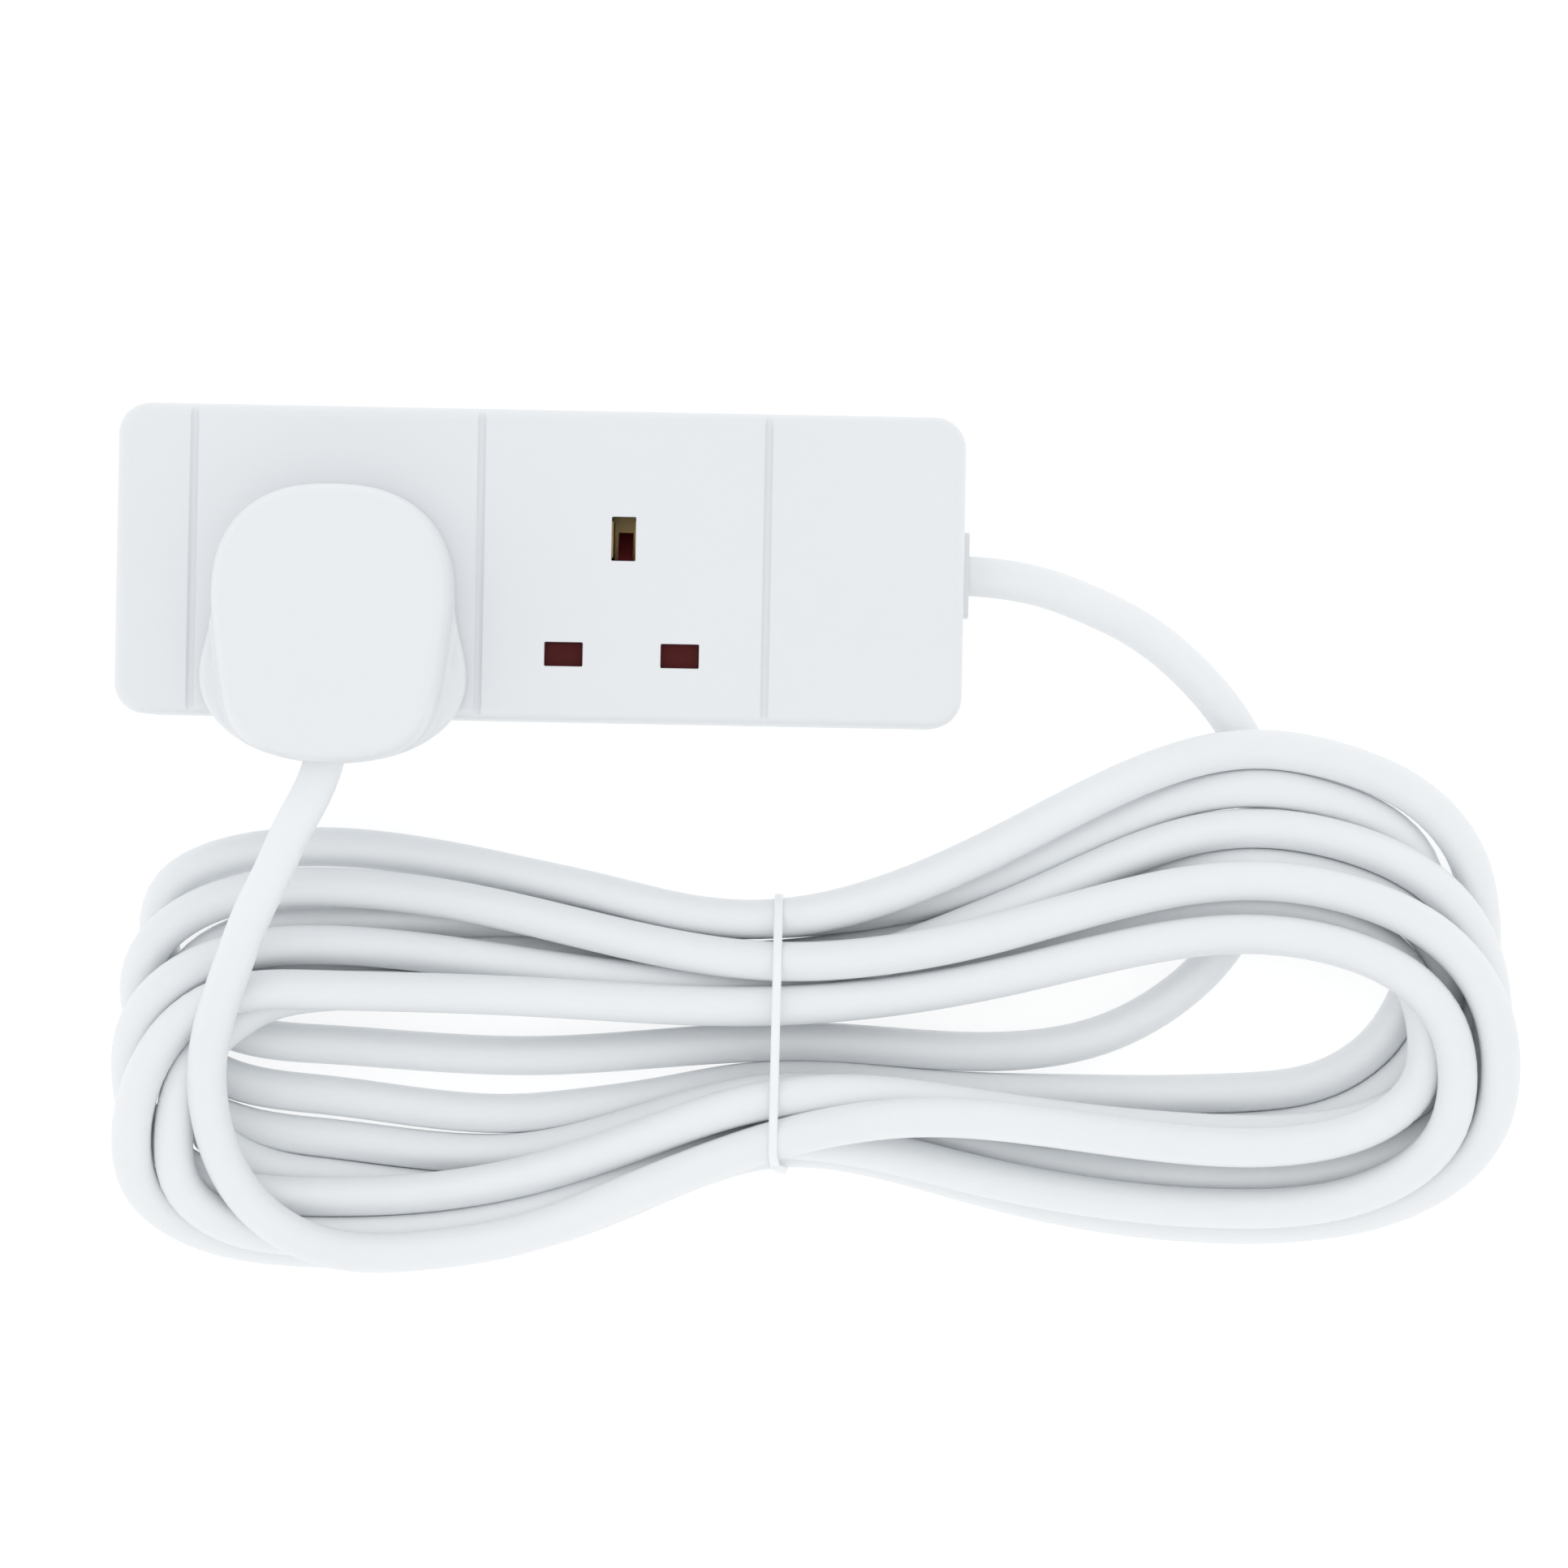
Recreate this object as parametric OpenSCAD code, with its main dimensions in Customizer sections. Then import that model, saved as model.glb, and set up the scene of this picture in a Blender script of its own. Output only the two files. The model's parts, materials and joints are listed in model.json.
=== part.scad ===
// Two-socket mains extension lead: a low block, a long flex tied in a hank, and a moulded fused plug
// that is pushed into the block's left socket. Millimetres, +Z up, origin at the block's bottom centre.
// X runs along the block towards the end that the flex leaves from.

/* [Block] */
// Length of the block
block_l = 162; // [160:0.5:166]
// Width of the block
block_w = 59.5; // [59:0.5:62]
// Height of the block
block_h = 37; // [36.5:0.5:40]
// Radius of the block's upright corners
corner_r = 6; // [5:0.5:7]
// Radius along the block's top edges
edge_r = 3.5; // [2:0.5:4]
// Wall thickness of the two covers
wall = 2.4; // [2:0.1:2.6]
// Depth of the cross grooves on the face
groove = 0.6; // [0.3:0.1:1]

/* [Sockets] */
// Distance between the two sockets
gang_pitch = 54.8; // [54:0.1:56]
// Length of a live or neutral slot
line_slot_l = 7.3; // [7:0.1:7.6]
// Width of every slot
slot_w = 4.6; // [4.4:0.1:4.8]
// Length of an earth slot
earth_slot_l = 8.4; // [8.3:0.1:8.8]
// How far a shutter slides to clear its slots
shutter_travel = 6; // [5.8:0.1:6]

/* [Flex] */
// Diameter of the flex
flex_d = 7.7; // [7:0.1:7.8]
// Height of the hank
hank_h = 23.2; // [20:0.2:26]
// Width of the tie
tie_w = 1.7; // [1.5:0.1:3]

/* [Plug] */
// Height of the plug above the block's face
plug_h = 22; // [21:0.5:24]
// Height of the plug's wide flange
flange_h = 7; // [6:0.5:8]
// Length of the earth pin
earth_pin_l = 22.7; // [22:0.1:22.9]
// Length of the live and neutral pins
line_pin_l = 17.7; // [17:0.1:18]

/* [Hidden] */
$fn = 48;
eps = 0.01;
fit_gap = 0.05;
corner_sides = 32;
lobe_sides = 64;
wire_sides = 6;

// standard pin pattern
pin_pitch = 22.2;
line_x = pin_pitch / 2;
earth_y = 5.3;
line_y = earth_y - pin_pitch;
pin_t = 3.97;
line_pin_w = 6.35;
earth_pin_w = 7.95;

// sockets and grooves
first_gang_x = -38.9;
gang_x = [first_gang_x, first_gang_x + gang_pitch];
groove_x = [for (k = [-0.5, 0.5, 1.5]) first_gang_x + k * gang_pitch];
groove_end_gap = 1.2;
groove_wide = 1.8;

// levels inside the block
seam_z = 14;
lid_in_z = block_h - wall;
shutter_t = 2;
shutter_gap = 0.4;
shutter_z = lid_in_z - shutter_gap - shutter_t;
strip_z = 11;
strip_t = 0.8;
jaw_top_z = 31;
inner_w = block_w - 2 * wall;
inner_l = block_l - 2 * wall;
lip_gap = 0.2;
lip_t = 1.2;
lip_h = 2;
lip_break_l = 3;
lip_break_half = 9;

// screw posts
post_x = [-72, 70];
post_y = 21;
post_r = 4.6;
screw_r = 1.75;
screw_hole_r = 1.8;
head_r = 3.1;
head_h = 2.2;
counterbore_r = 3.4;
counterbore_h = 7;
cover_screw_l = 20;
cross_l = 3.6;
cross_w = 0.7;
cross_h = 2;

// shutter outline, measured from its own socket's middle
blade_w = 10.4;
blade_lo_y = line_y - 3.1;
blade_hi_y = line_y + 3.1;
bridge_hi_y = blade_hi_y + 4;
bridge_half = 5.8;
pocket_half = 1.4;
tongue_w = 2.8;
tongue_shift = 0.3;
tongue_tip_y = earth_y + 1.4;
ramp_l = 6;
rail_x = line_x + blade_w / 2 + 0.3;
rail_t = 1.5;
rail_lip = 1.2;
rail_end_y = -8;
rail_drop = 1.6;
rail_clear = 0.2;
tongue_t = 1.2;

// shutter springs
spring_r = 0.85;
spring_wire_r = 0.16;
spring_coils = 6;
spring_steps = 8;

// contact carrier, its hollow cells and the fence between live and neutral
carrier_x = [-62, 58];
carrier_y = [-25.5, 18];
cell_x = [-60, -30, 0, 30];
cell_l = 26;
cell_rim = 2;
cell_roof = 2.5;
fence_half = 18;
fence_y = -8;
fence_t = 1.2;
fence_top_z = 24;

// busbars and their clips
jaw_gap = 0.12;
jaw_t = 0.8;
jaw_half_l = 3;
strip_w = 3;
live_strip_y = -22.6;
neutral_strip_y = -10.5;
earth_strip_y = 13.5;
pillar_x = 49;
pillar_l = 7;
pillar_w = 6;
pillar_h = 9;
terminal_z = 15;
terminal_bore_r = 1.7;
terminal_screw_r = 1.5;
terminal_screw_x = pillar_x + pillar_l / 2;
terminal_screw_l = 5.5;
terminal_head_z = 4.6;
terminal_head_r = 2.6;
terminal_head_h = 2;
strip_reach = 16;
tab_half = 2.5;
earth_jaw_inset = 0.5;

// flex outlet and clamp
outlet_z = 14;
grommet_r = 6;
grommet_gap = 0.1;
grommet_back = 1.4;
grommet_rim = 1.2;
plate_w = 16.4;
plate_h = 16;
plate_t = 1.2;
plate_r = 2;
bore_gap = 0.15;
clamp_x = 70;
clamp_l = 6;
clamp_w = 24;
clamp_screw_y = 8.5;
clamp_screw_r = 1.5;
clamp_gap = 1.5;
clamp_t = 5;
clamp_hole_z = 4;
clamp_screw_z = 5;
clamp_head_r = 2.8;
clamp_head_h = 2;
clamp_head_z = outlet_z + clamp_gap + clamp_t;
seat_half_l = 3.5;
bore_half_l = 5;
driver_slot_l = 6;
driver_slot_w = 0.8;

// cores
core_r = 1.4;
strand_r = 0.75;
bare_l = 0.5;
core_sides = 8;
flex_sides = 12;

// plug levels, with a slight gap under the plug's face
face_gap = 0.2;
face_z = block_h + face_gap;
plug_top_z = block_h + plug_h;
plug_x = gang_x[0];
carrier_h = 6;
plug_room_z = face_z + carrier_h;
plug_insert_top_z = face_z + 16;
pin_top_z = face_z + 8;
plug_edge = 2.5;
insert_half = 17;
insert_y = [-27, 4];
nose_half = 9;
nose_y = [0, 11.2];
sleeve_l = 9.4;
sleeve_t = 0.5;
pin_point = 1.2;
fuse_y = -6.5;
fuse_z = 43;
fuse_r = 3.15;
fuse_l = 25.4;
fuse_cap_l = 6;
fuse_room_r = 3.9;
fuse_tray_l = 32;
fuse_tray_w = 9;
fuse_cap_t = 0.3;
barrel_inset = 0.5;
fuse_end_gap = 0.4;
pry_x = [13, 14.5];
pry_half = 2;
rib_x = 3.5;
rib_half_t = 0.8;
rib_half_w = 3;
tray_floor = 1.2;
clip_t = 0.6;
clip_half_l = 2;
link_half = 1.5;
link_t = 0.8;
crimp_half = 2;
crimp_h = 3;
crimp_x = -9.7;

// the plug's outline: an arched end above round_y, the cap tapering below it, the flange bulging at bulge_y
cap_half = 22.9;
cap_taper = 4.4;
cap_shrink = 0.92;
round_y = -7.5;
top_reach = 22;
bulge_y = -22;
bulge_half = 25.4;
bulge_reach = 16.6;
low_reach = round_y - bulge_y + bulge_reach;
flange_step = 0.4;
outline_steps = 24;
cap_mid_y = -12;

// The flex's route where it isn't in the hank, from the clamp to the hank and from the hank to the plug
route_from_block = [
    [65.5, 0, 14], [74, 0, 14], [82, 0, 14], [90, -0.6, 13.4], [98, -2.2, 11.5], [106, -5, 8.4],
    [114, -8.6, 5.5], [120.5, -12.8, 4.2], [126.5, -18, 4], [132, -24, 4], [137, -32, 4]
];
route_to_plug = [
    [-60.5, -87, 20.5], [-58.5, -81, 24.5], [-56.5, -74.5, 28.5], [-53.5, -67, 32.5], [-50, -60, 37],
    [-46.8, -53, 41.5], [-43.2, -46.2, 45], [-41.02, -41.6, 46], [-40.66, -40.4, 46]
];
route_in_plug = [
    [-40.57, -40.1, 46], [-40.3, -39.2, 46], [-39.4, -35.5, 46], [-39, -31, 46], [-38.9, -27, 46],
    [-38.9, -25, 46]
];

// The hank's outline, as round lobes joined to a waist under the tie
left_lobe = [-45, -93, 35];
left_lobe_gap = 15.5;
right_lobe = [146.5, -78.5, 42];
right_lobe_gap = 15;
waist_x = 45;
waist_y = -88.7;
waist_w = 53.5;
waist_l = 16;
tie_t = 0.8;
tie_corner_r = 5;

// ---------- outline and sweep helpers ----------

function unit(v) = v / norm(v);
function ahead(p, i) = unit(p[min(i + 1, len(p) - 1)] - p[max(i - 1, 0)]);
function ring(p, i, r, sides) =
    let (
        along = ahead(p, i),
        side = unit(cross(along, [0, 0, 1])),
        up = cross(side, along)
    )
    [for (k = [0:sides - 1]) p[i] + r * (cos(360 * k / sides) * side + sin(360 * k / sides) * up)];

// A round tube that follows a list of points
module tube(p, r, sides) {
    points = [for (i = [0:len(p) - 1]) each ring(p, i, r, sides)];
    first = [for (k = [sides - 1:-1:0]) k];
    last = [for (k = [0:sides - 1]) (len(p) - 1) * sides + k];
    skin = [
        for (i = [0:len(p) - 2], k = [0:sides - 1])
            let (a = i * sides, next = (k + 1) % sides)
                [a + k, a + next, a + sides + next, a + sides + k]
    ];
    polyhedron(points = points, faces = concat([first], skin, [last]), convexity = 8);
}

// A block with upright corners of radius r and top edges of radius e, from z = lo to z = hi
module soft_block(l, w, lo, hi, r, e) {
    hull() {
        for (sx = [-1, 1], sy = [-1, 1]) {
            translate([sx * (l / 2 - r), sy * (w / 2 - r), lo]) {
                cylinder(r = r, h = hi - lo - e, $fn = corner_sides);
                rotate_extrude($fn = corner_sides)
                    intersection() {
                        translate([r - e, hi - lo - e]) circle(r = e, $fn = corner_sides);
                        square([r, hi - lo]);
                    }
            }
        }
    }
}

// A straight-sided block with upright corners of radius r
module plain_block(l, w, lo, hi, r) {
    translate([0, 0, lo]) {
        linear_extrude(hi - lo) {
            union() {
                square([l - 2 * r, w], center = true);
                square([l, w - 2 * r], center = true);
                for (sx = [-1, 1], sy = [-1, 1]) {
                    translate([sx * (l / 2 - r), sy * (w / 2 - r)]) circle(r = r);
                }
            }
        }
    }
}

// A box from its lowest to its highest corner
module box(lo, hi) {
    translate(lo) cube(hi - lo);
}

module bar_x(r, x0, x1, y, z) {
    translate([x0, y, z]) rotate([0, 90, 0]) cylinder(r = r, h = x1 - x0);
}

module posts(r, lo, hi) {
    for (x = post_x, sy = [-1, 1]) {
        translate([x, sy * post_y, lo]) cylinder(r = r, h = hi - lo);
    }
}

// ---------- block ----------

module slots(x) {
    for (s = [-1, 1]) {
        translate([x + s * line_x, line_y, block_h]) {
            cube([line_slot_l, slot_w, 4 * wall], center = true);
        }
    }
    translate([x, earth_y, block_h]) cube([slot_w, earth_slot_l, 4 * wall], center = true);
}

module shutter_rails(x) {
    for (s = [-1, 1]) {
        translate([x, 0, 0]) {
            mirror([s < 0 ? 1 : 0, 0, 0]) {
                box([rail_x, -inner_w / 2, shutter_z - rail_drop], [rail_x + rail_t, rail_end_y, lid_in_z]);
                box(
                    [rail_x - rail_lip, -inner_w / 2, shutter_z - rail_drop],
                    [rail_x + eps, rail_end_y, shutter_z - rail_clear]
                );
            }
        }
    }
}

module outlet_hole() {
    bar_x(grommet_r + grommet_gap, inner_l / 2 - 2, block_l / 2 + 1, 0, outlet_z);
}

module top_cover() {
    color("white") {
        difference() {
            union() {
                difference() {
                    soft_block(block_l, block_w, seam_z, block_h, corner_r, edge_r);
                    plain_block(inner_l, inner_w, seam_z - 1, lid_in_z, corner_r - wall);
                }
                posts(post_r - 1, seam_z, lid_in_z + eps);
                for (x = gang_x) {
                    shutter_rails(x);
                }
            }
            for (x = gang_x) {
                slots(x);
            }
            for (x = groove_x) {
                translate([x, 0, block_h]) {
                    cube([groove_wide, block_w - 2 * groove_end_gap, 2 * groove], center = true);
                }
            }
            posts(screw_hole_r, seam_z - 1, seam_z + cover_screw_l);
            outlet_hole();
        }
    }
}

module base_cover() {
    color("white") {
        difference() {
            union() {
                difference() {
                    plain_block(block_l, block_w, 0, seam_z, corner_r);
                    plain_block(inner_l, inner_w, wall, seam_z + 1, corner_r - wall);
                }
                difference() {
                    lip_r = corner_r - wall - lip_gap;
                    plain_block(inner_l - 2 * lip_gap, inner_w - 2 * lip_gap, wall, seam_z + lip_h, lip_r);
                    plain_block(
                        inner_l - 2 * lip_gap - 2 * lip_t,
                        inner_w - 2 * lip_gap - 2 * lip_t,
                        wall - 1,
                        seam_z + lip_h + 1,
                        lip_r - lip_t
                    );
                    box(
                        [inner_l / 2 - lip_break_l, -lip_break_half, wall],
                        [inner_l / 2, lip_break_half, seam_z + lip_h + 1]
                    );
                }
                posts(post_r, wall / 2, seam_z);
                box(
                    [clamp_x - seat_half_l, -clamp_w / 2, wall / 2],
                    [clamp_x + seat_half_l, clamp_w / 2, outlet_z - clamp_gap]
                );
            }
            posts(screw_hole_r + 2 * fit_gap, -1, seam_z + 1);
            posts(counterbore_r, -1, counterbore_h);
            bar_x(flex_d / 2 + bore_gap, clamp_x - bore_half_l, clamp_x + bore_half_l, 0, outlet_z);
            for (s = [-1, 1]) {
                translate([clamp_x, s * clamp_screw_y, clamp_hole_z]) {
                    cylinder(r = clamp_screw_r + 2 * fit_gap, h = seam_z);
                }
            }
            outlet_hole();
        }
    }
}

module cover_screws() {
    color("silver") {
        for (x = post_x, sy = [-1, 1]) {
            translate([x, sy * post_y, counterbore_h - head_h]) {
                difference() {
                    union() {
                        cylinder(r = head_r, h = head_h);
                        cylinder(r = screw_r, h = head_h + cover_screw_l);
                    }
                    for (a = [0, 90]) {
                        rotate([0, 0, a]) cube([cross_l, cross_w, cross_h], center = true);
                    }
                }
            }
        }
    }
}

// A shutter, slid back by slide: two blades under the live and neutral slots, the bridge between
// them that its spring pushes on, and a ramp under the earth slot
module shutter(x, slide) {
    blade_end = line_x + blade_w / 2;
    color("darkred") {
        translate([x, -slide, shutter_z]) {
            box([-blade_end, blade_lo_y, 0], [-pocket_half, blade_hi_y + eps, shutter_t]);
            box([pocket_half, blade_lo_y, 0], [blade_end, blade_hi_y + eps, shutter_t]);
            box([-bridge_half, blade_hi_y, 0], [bridge_half, bridge_hi_y, shutter_t]);
            translate([tongue_shift + tongue_w / 2, 0, 0]) {
                rotate([90, 0, -90]) {
                    linear_extrude(tongue_w) {
                        polygon([
                            [eps - bridge_hi_y, 0], [eps - bridge_hi_y, shutter_t],
                            [ramp_l - tongue_tip_y, shutter_t], [-tongue_tip_y, shutter_t - ramp_l],
                            [-tongue_tip_y, shutter_t - ramp_l - tongue_t], [ramp_l - tongue_tip_y, 0]
                        ]);
                    }
                }
            }
        }
    }
}

module shutter_left() {
    shutter(gang_x[0], shutter_travel);
}

module shutter_right() {
    shutter(gang_x[1], 0);
}

// A coil spring along Y between the cover's wall and a shutter's crossbar
module shutter_spring(x, slide) {
    y0 = -inner_w / 2 + spring_wire_r + fit_gap;
    y1 = blade_hi_y - slide - spring_wire_r - fit_gap;
    steps = spring_coils * spring_steps;
    coil = [
        for (i = [0:steps])
            [
                x + spring_r * cos(360 * i / spring_steps),
                y0 + (y1 - y0) * i / steps,
                shutter_z + shutter_t / 2 + spring_r * sin(360 * i / spring_steps)
            ]
    ];
    color("silver") tube(coil, spring_wire_r, wire_sides);
}

module shutter_spring_left() {
    shutter_spring(gang_x[0], shutter_travel);
}

module shutter_spring_right() {
    shutter_spring(gang_x[1], 0);
}

module contact_carrier() {
    color("gainsboro") {
        difference() {
            box([carrier_x[0], carrier_y[0], wall], [carrier_x[1], carrier_y[1], strip_z]);
            for (x = cell_x) {
                box(
                    [x, carrier_y[0] + cell_rim, wall - 1],
                    [x + cell_l, carrier_y[1] - cell_rim, strip_z - cell_roof]
                );
            }
        }
        for (x = gang_x) {
            box([x - fence_half, fence_y, strip_z - eps], [x + fence_half, fence_y + fence_t, fence_top_z]);
        }
    }
}

// The flat strip and screw pillar that each pole has
module busbar_strip(y) {
    x0 = gang_x[0] - strip_reach;
    box([x0, y - strip_w / 2, strip_z], [pillar_x + eps, y + strip_w / 2, strip_z + strip_t]);
    difference() {
        box(
            [pillar_x, y - pillar_w / 2, strip_z],
            [pillar_x + pillar_l, y + pillar_w / 2, strip_z + pillar_h]
        );
        bar_x(terminal_bore_r, pillar_x - 1, pillar_x + pillar_l + 1, y, terminal_z);
        translate([terminal_screw_x, y, terminal_z]) cylinder(r = terminal_screw_r + fit_gap, h = pillar_h);
    }
}

// A two-jaw clip for a live or neutral pin, joined to its strip
module line_clip(x, strip_y) {
    jaw_y = pin_t / 2 + jaw_gap;
    tab_lo = min(strip_y, line_y);
    tab_hi = max(strip_y, line_y);
    for (s = [-1, 1]) {
        mid = line_y + s * (jaw_y + jaw_t / 2);
        box([x - jaw_half_l, mid - jaw_t / 2, strip_z], [x + jaw_half_l, mid + jaw_t / 2, jaw_top_z]);
    }
    box(
        [x - jaw_half_l, line_y - jaw_y - jaw_t, strip_z],
        [x + jaw_half_l, line_y + jaw_y + jaw_t, strip_z + strip_t]
    );
    box([x - tab_half, tab_lo, strip_z], [x + tab_half, tab_hi, strip_z + strip_t]);
}

module live_busbar() {
    color("goldenrod") {
        busbar_strip(live_strip_y);
        for (x = gang_x) {
            line_clip(x + line_x, live_strip_y);
        }
    }
}

module neutral_busbar() {
    color("goldenrod") {
        busbar_strip(neutral_strip_y);
        for (x = gang_x) {
            line_clip(x - line_x, neutral_strip_y);
        }
    }
}

module earth_busbar() {
    jaw_x = pin_t / 2 + jaw_gap;
    half = earth_pin_w / 2 - earth_jaw_inset;
    color("goldenrod") {
        busbar_strip(earth_strip_y);
        for (x = gang_x) {
            for (s = [-1, 1]) {
                mid = x + s * (jaw_x + jaw_t / 2);
                box([mid - jaw_t / 2, earth_y - half, strip_z], [mid + jaw_t / 2, earth_y + half, jaw_top_z]);
            }
            box(
                [x - jaw_x - jaw_t, earth_y - half, strip_z],
                [x + jaw_x + jaw_t, earth_y + half, strip_z + strip_t]
            );
            box([x - tab_half, earth_y, strip_z], [x + tab_half, earth_strip_y, strip_z + strip_t]);
        }
    }
}

module terminal_screws() {
    color("silver") {
        for (y = [live_strip_y, neutral_strip_y, earth_strip_y]) {
            translate([terminal_screw_x, y, terminal_z + strand_r + fit_gap]) {
                difference() {
                    union() {
                        cylinder(r = terminal_screw_r, h = terminal_screw_l);
                        translate([0, 0, terminal_head_z]) cylinder(r = terminal_head_r, h = terminal_head_h);
                    }
                    translate([0, 0, terminal_head_z + terminal_head_h]) {
                        cube([driver_slot_l, driver_slot_w, terminal_head_h], center = true);
                    }
                }
            }
        }
    }
}

module cord_clamp() {
    color("whitesmoke") {
        difference() {
            box(
                [clamp_x - clamp_l / 2, -clamp_w / 2, outlet_z + clamp_gap],
                [clamp_x + clamp_l / 2, clamp_w / 2, clamp_head_z]
            );
            bar_x(flex_d / 2 + bore_gap, clamp_x - bore_half_l, clamp_x + bore_half_l, 0, outlet_z);
            for (s = [-1, 1]) {
                translate([clamp_x, s * clamp_screw_y, outlet_z]) {
                    cylinder(r = clamp_screw_r + 4 * fit_gap, h = 2 * clamp_t);
                }
            }
        }
    }
}

module cord_clamp_screws() {
    color("silver") {
        for (s = [-1, 1]) {
            translate([clamp_x, s * clamp_screw_y, 0]) {
                difference() {
                    union() {
                        translate([0, 0, clamp_screw_z]) {
                            cylinder(r = clamp_screw_r, h = clamp_head_z - clamp_screw_z + eps);
                        }
                        translate([0, 0, clamp_head_z]) cylinder(r = clamp_head_r, h = clamp_head_h);
                    }
                    translate([0, 0, clamp_head_z + clamp_head_h]) {
                        cube([driver_slot_l, driver_slot_w, clamp_head_h], center = true);
                    }
                }
            }
        }
    }
}

module cable_grommet() {
    color("white") {
        difference() {
            union() {
                bar_x(grommet_r, inner_l / 2 - grommet_back, block_l / 2 + eps, 0, outlet_z);
                bar_x(
                    grommet_r + grommet_rim,
                    inner_l / 2 - grommet_back,
                    inner_l / 2 - grommet_back + grommet_rim,
                    0,
                    outlet_z
                );
                translate([block_l / 2, 0, outlet_z]) {
                    rotate([90, 0, 90]) {
                        linear_extrude(plate_t) {
                            square([plate_w - 2 * plate_r, plate_h], center = true);
                            square([plate_w, plate_h - 2 * plate_r], center = true);
                            for (sy = [-1, 1], sz = [-1, 1]) {
                                translate([sy * (plate_w / 2 - plate_r), sz * (plate_h / 2 - plate_r)]) {
                                    circle(r = plate_r);
                                }
                            }
                        }
                    }
                }
            }
            bar_x(flex_d / 2 + bore_gap, inner_l / 2 - wall, block_l / 2 + wall, 0, outlet_z);
        }
    }
}

// ---------- cores inside the block ----------

module core_brown() {
    color("saddlebrown") {
        tube(
            [
                [65.5, -2, 13], [64.7, -2, 13], [63.4, -4.5, 13.2], [63, -8.5, 13.4], [63, -13, 13.8],
                [62.4, -17, 14.6], [60.8, -20.8, 15], [58.4, -22.4, 15], [57.4, -22.6, 15], [56.6, -22.6, 15]
            ],
            core_r,
            core_sides
        );
    }
}

module core_blue() {
    color("royalblue") {
        tube(
            [
                [65.5, 0, 15.9], [64.7, 0, 15.9], [62.6, -1, 16.3], [61, -3.6, 16.3],
                [60.2, -7, 15.8], [58.8, -9.8, 15.1], [57.4, -10.5, 15], [56.6, -10.5, 15]
            ],
            core_r,
            core_sides
        );
    }
}

module core_green_yellow() {
    color("yellowgreen") {
        tube(
            [
                [65.5, 2, 13], [64.7, 2, 13], [63.2, 4.6, 13.4], [62, 8.6, 14.2],
                [60.3, 12, 14.9], [58.6, 13.4, 15], [57.4, 13.5, 15], [56.6, 13.5, 15]
            ],
            core_r,
            core_sides
        );
    }
}

module conductor_ends() {
    color("peru") {
        for (y = [live_strip_y, neutral_strip_y, earth_strip_y]) {
            bar_x(strand_r, pillar_x + 1, pillar_x + pillar_l + bare_l, y, terminal_z);
        }
    }
}

// ---------- flex ----------

module flex_from_block() {
    color("white") tube(route_from_block, flex_d / 2, flex_sides);
}

module flex_to_plug() {
    color("white") tube(route_to_plug, flex_d / 2, flex_sides);
}

module flex_plug_end() {
    color("white") tube(route_in_plug, flex_d / 2, flex_sides);
}

// One round lobe of the hank, drawn in to the waist
module lobe(place, gap) {
    hull() {
        for (s = [-1, 1]) {
            translate([place[0], place[1] + s * gap / 2]) circle(r = place[2], $fn = lobe_sides);
        }
        translate([waist_x, waist_y]) square([waist_l, waist_w], center = true);
    }
}

// The tie's closed band round the waist, seen along X, grown by g
module band_outline(g) {
    translate([waist_y, hank_h / 2]) {
        square([waist_w - 2 * tie_corner_r + 2 * g, hank_h - 2 * tie_t + 2 * g], center = true);
        square([waist_w - 2 * tie_t + 2 * g, hank_h - 2 * tie_corner_r + 2 * g], center = true);
        for (sy = [-1, 1], sz = [-1, 1]) {
            translate([
                sy * (waist_w / 2 - tie_corner_r),
                sz * (hank_h / 2 - tie_corner_r)
            ]) {
                circle(r = tie_corner_r - tie_t + g);
            }
        }
    }
}

module band(g, w) {
    translate([waist_x - w / 2, 0, 0]) {
        rotate([90, 0, 90]) linear_extrude(w) band_outline(g);
    }
}

module flex_hank() {
    color("white") {
        difference() {
            linear_extrude(hank_h) {
                lobe(left_lobe, left_lobe_gap);
                lobe(right_lobe, right_lobe_gap);
            }
            difference() {
                box(
                    [waist_x - tie_w / 2, waist_y - waist_w, -1],
                    [waist_x + tie_w / 2, waist_y + waist_w, hank_h + 1]
                );
                band(0, 3 * tie_w);
            }
        }
    }
}

module hank_tie() {
    color("whitesmoke") {
        difference() {
            band(tie_t, tie_w);
            band(0, 3 * tie_w);
        }
    }
}

// ---------- plug ----------

// Half-widths of the plug's cap and of its flange at a distance y along the plug
function arch(a, t, n) = a * pow(max(0, 1 - pow(t, n)), 1 / n);
function ease(t) = t * t * (3 - 2 * t);
function flange_width(y) =
    y >= round_y ? arch(cap_half, (y - round_y) / top_reach, 2.4)
    : y >= bulge_y ? cap_half + (bulge_half - cap_half) * ease((round_y - y) / (round_y - bulge_y))
    : arch(bulge_half, (bulge_y - y) / bulge_reach, 2.1);
function cap_width(y) =
    y >= round_y ? arch(cap_half, (y - round_y) / top_reach, 2.4)
    : let (t = (round_y - y) / low_reach)
        (cap_half - cap_taper * pow(t, 1.3)) * pow(max(0, 1 - pow(t, 8)), 0.455);

// Stations along the outline, closer together at its two ends
function outline_y(k) =
    round_y + (top_reach - low_reach) / 2 - (top_reach + low_reach) / 2 * cos(180 * k / outline_steps);
plug_y = [for (k = [1:outline_steps - 1]) outline_y(k)];

// The closed outline with the given half-width at each station
module plug_outline(half) {
    last = len(plug_y) - 1;
    polygon(concat(
        [[0, outline_y(0)]],
        [for (k = [0:last]) [half[k], plug_y[k]]],
        [[0, outline_y(outline_steps)]],
        [for (k = [last:-1:0]) [-half[k], plug_y[k]]]
    ));
}

module cap_outline() {
    offset(delta = -flange_step) plug_outline([for (y = plug_y) cap_width(y)]);
}

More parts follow.
